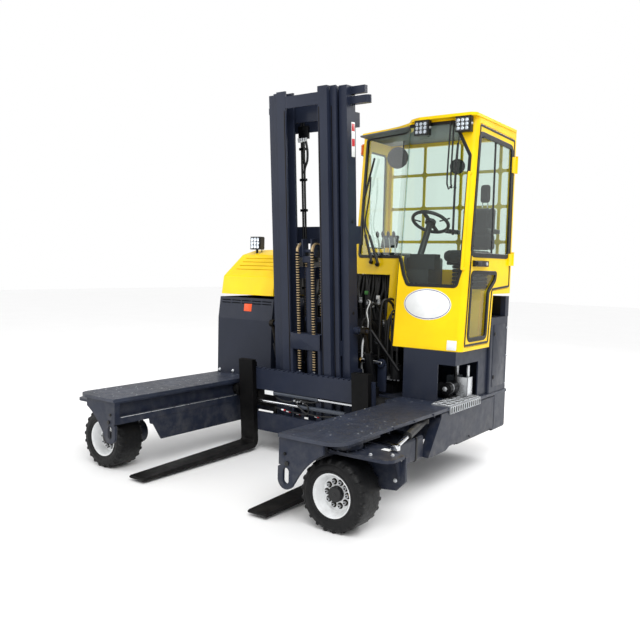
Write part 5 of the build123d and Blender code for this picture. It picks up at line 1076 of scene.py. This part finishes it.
inside.add(turned([(0, 54), (2, 52)], (990, 1924, 2414), (-0.35, 0.9, -0.1), 36), MIRROR)
inside.add(tube([(997, 1904, 2470), (1010, 1880, 2560), (1030, 1860, 2700)], 5, 16), PLASTIC)
inside.add(slab(rounded([(700, 1670), (1170, 1670), (1170, 2090), (560, 2090)], 20), 8, (0, 0, 1019.5),
                (1, 0, 0), (0, 1, 0), 2), PLASTIC)
for x in (800, 900, 1040):
    inside.add(slab(rectangle(70, 120, 10), 12, (x, 1700, 1130), (1, 0, 0), (0, 0.8, 0.6), 3), PLASTIC)
inside.add(tube([(842, 1940, 1990), (900, 1950, 2004), (928, 1944, 2012)], 6, 12), PLASTIC)
inside.add(tube([(670, 1940, 1990), (612, 1950, 2004), (590, 1944, 2012)], 6, 12), PLASTIC)
inside.done()

# Seat: foam cushion, back and headrest sewn into black cloth, on a rubber bellows and a steel
# frame. Each pad is blown up by a short cloth simulation and then gets its seams.


def woven_cloth(name, hex_value):
    """Plain weave: the higher of two waves whose threads are drawn 7 mm apart, coarser than real
    so that they show, with a soft sheen."""
    g = Finish(name)
    warp = g.add("TexWave", {"Vector": g.object, "Scale": 1000 / 7.0}, out="Fac", bands_direction="X")
    weft = g.add("TexWave", {"Vector": g.object, "Scale": 1000 / 7.0}, out="Fac", bands_direction="Z")
    weave = g.add("Math", {0: warp, 1: weft}, operation="MAXIMUM")
    tone = g.add("MapRange", {0: weave, 1: 0, 2: 1, 3: 0.6, 4: 1.2})
    base = g.add("HueSaturation", {"Value": tone, "Color": colour(hex_value)})
    threads = g.add("Bump", {"Height": weave, "Distance": 0.3 / 1000, "Strength": 0.6})
    return g.finish(base, 0.85, threads, Sheen_Weight=0.25)


def stuffed(piece, voxel_mm=7, cap_mm=14, pressure=4.0, frames=20):
    """Remeshes a pad, blows it up with cloth pressure, caps how far each point moves, and keeps
    the result."""
    scene = bpy.context.scene
    remesh = piece.modifiers.new("remesh", "REMESH")
    remesh.mode, remesh.voxel_size = "VOXEL", voxel_mm / 1000
    even = bpy.data.meshes.new_from_object(piece.evaluated_get(bpy.context.evaluated_depsgraph_get()))
    piece.modifiers.clear()
    for material in piece.data.materials:
        if material.name not in even.materials:
            even.materials.append(material)
    piece.data = even
    rest = np.empty(len(even.vertices) * 3)
    even.vertices.foreach_get("co", rest)
    cloth = piece.modifiers.new("cloth", "CLOTH")
    cloth.settings.use_pressure = True
    cloth.settings.uniform_pressure_force = pressure
    cloth.settings.effector_weights.gravity = 0
    cloth.point_cache.frame_start, cloth.point_cache.frame_end = 1, frames
    for number in range(1, frames + 1):
        scene.frame_set(number)
    swollen = np.empty_like(rest)
    piece.evaluated_get(bpy.context.evaluated_depsgraph_get()).data.vertices.foreach_get("co", swollen)
    piece.modifiers.clear()
    scene.frame_set(1)
    moved = (swollen - rest).reshape(-1, 3)
    length = np.linalg.norm(moved, axis=1)[:, None]
    moved *= np.minimum(1, cap_mm / 1000 / np.maximum(length, 1e-9))
    even.vertices.foreach_set("co", (rest.reshape(-1, 3) + moved).ravel())
    even.shade_smooth()


def pad(name, x, y, z, corner, seams):
    """A pad between three pairs of limits. Seams are (axis, place) lines, where the points draw in
    towards the middle by a bell curve."""
    piece = Piece(name)
    inside_limits = [(low + PAD_SWELL, high - PAD_SWELL) for low, high in (x, y, z)]
    piece.add(block(*inside_limits, corner, corner * 1.6), CLOTH)
    pad_object = piece.done()
    stuffed(pad_object)
    mesh = pad_object.data
    points = np.empty(len(mesh.vertices) * 3)
    mesh.vertices.foreach_get("co", points)
    points = points.reshape(-1, 3)
    middle = (points.min(0) + points.max(0)) / 2
    for axis, place in seams:
        gap = (points[:, axis] - (place - (FRONT if axis == 1 else 0)) / 1000) / SEAM_WIDTH
        points = middle + (points - middle) * (1 - 0.07 * np.exp(-gap ** 2))[:, None]
    mesh.vertices.foreach_set("co", points.ravel())


CLOTH = woven_cloth("black_seat_cloth", "#17181b")      # black with a faint grey bloom
PAD_SWELL = 12
SEAM_WIDTH = 0.007      # metres
coat(CLOTH, "seat")
pad("seat_cushion_pad", (790, 1140), (2060, 2430), (1662, 1762), 26, ((0, 862), (0, 1068), (1, 2330)))
pad("seat_back_pad", (800, 1130), (2394, 2490), (1748, 2152), 26, ((0, 868), (0, 1062), (2, 1900)))
pad("seat_head_pad", (953, 1063), (2425, 2485), (2162, 2340), 18, ())
base = Piece("seat_base")
for i in range(6):
    fold = (965, 2295, 1450 + 32 * i)
    base.add(slab(rectangle(236, 236, 26), 30, fold, (1, 0, 0), (0, 1, 0), 12), PLASTIC)
base.add(block((830, 1100), (2120, 2420), (1640, 1668), 3, 10), BLACK_PAINT)
base.several([bar((x, 2455, 2130), (x, 2455, 2180), 6) for x in (985, 1031)], CHROME)
base.add(block((1128, 1160), (2180, 2440), (1905, 1945), 10, 16), PLASTIC)
base.add(block((768, 800), (2180, 2440), (1905, 1945), 10, 16), PLASTIC)
base.done("seat")

# Stage: a plain pale floor, a wide soft sun with key, fill and rim lights, and a camera that
# stands where the photograph was taken, with its roll and small shift.
PICTURE = 640                           # pixels across the photograph
FOCAL_LENGTH = 712.622                  # in pixels
PICTURE_CENTRE = (324.051, 317.153)     # where the lens points, in pixels
cam = bpy.data.objects.new("camera", bpy.data.cameras.new("camera"))
bpy.context.collection.objects.link(cam)
bpy.context.scene.camera = cam
CAM_RIGHT = (0.81349203, 0.58107912, 0.02403683)
CAM_UP = (-0.06187841, 0.04538391, 0.99705133)
CAM_BACK = (0.57827483, -0.81258068, 0.07287560)
turn = Matrix((CAM_RIGHT, CAM_UP, CAM_BACK)).transposed()
cam.matrix_world = Matrix.Translation((3.46203, -4.59897, 1.61379)) @ turn.to_4x4()
cam.data.sensor_width = 36
cam.data.lens = FOCAL_LENGTH / PICTURE * cam.data.sensor_width
cam.data.shift_x = (PICTURE / 2 - PICTURE_CENTRE[0]) / PICTURE
cam.data.shift_y = (PICTURE_CENTRE[1] - PICTURE / 2) / PICTURE
cam.data.clip_end = 100
bpy.ops.mesh.primitive_plane_add(size=60, location=(0, 0, 0))
floor = bpy.context.object
floor.name = "floor"
g = Finish("pale_floor")
tone = g.patches(900, 3, 0.3, 0.7, 0.985, 1.0)
floor.data.materials.append(g.finish(g.add("HueSaturation", {"Value": tone, "Color": colour("#f6f6f6")}),
                                     0.6))
floor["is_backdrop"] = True
world = bpy.data.worlds.new("studio")
bpy.context.scene.world = world
world.use_nodes = True
sky = world.node_tree.nodes["Background"]
sky.inputs[0].default_value = colour("#ffffff")
seen = world.node_tree.nodes.new("ShaderNodeLightPath").outputs["Is Camera Ray"]
level = world.node_tree.nodes.new("ShaderNodeMapRange")
level.inputs[3].default_value, level.inputs[4].default_value = 0.72, 1.0     # as a light, as the backdrop
world.node_tree.links.new(seen, level.inputs[0])
world.node_tree.links.new(level.outputs[0], sky.inputs[1])


def area_light(name, place, aim, size, power):
    """A round lamp that looks from place to aim, its size in metres and its power in watts."""
    lamp = bpy.data.objects.new(name, bpy.data.lights.new(name, "AREA"))
    bpy.context.collection.objects.link(lamp)
    lamp.location = place
    lamp.rotation_euler = (Vector(aim) - Vector(place)).to_track_quat("-Z", "Y").to_euler()
    lamp.data.shape = "DISK"
    lamp.data.size = size
    lamp.data.energy = power


sun = bpy.data.objects.new("soft_sun", bpy.data.lights.new("soft_sun", "SUN"))
bpy.context.collection.objects.link(sun)
sun.rotation_euler = Vector((4.5, -4.5, 7.5)).to_track_quat("Z", "Y").to_euler()
sun.data.energy, sun.data.angle = 1.5, 0.7
area_light("key", (4.5, -4.5, 6.5), (0, 0, 0.8), 4.0, 150)
area_light("fill", (-6.0, -4.0, 3.5), (0, 0, 1.0), 5.0, 120)
area_light("rim", (2.0, 6.0, 6.0), (0, 0, 1.2), 4.0, 300)
bpy.context.scene.view_settings.view_transform = "Standard"

low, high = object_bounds()
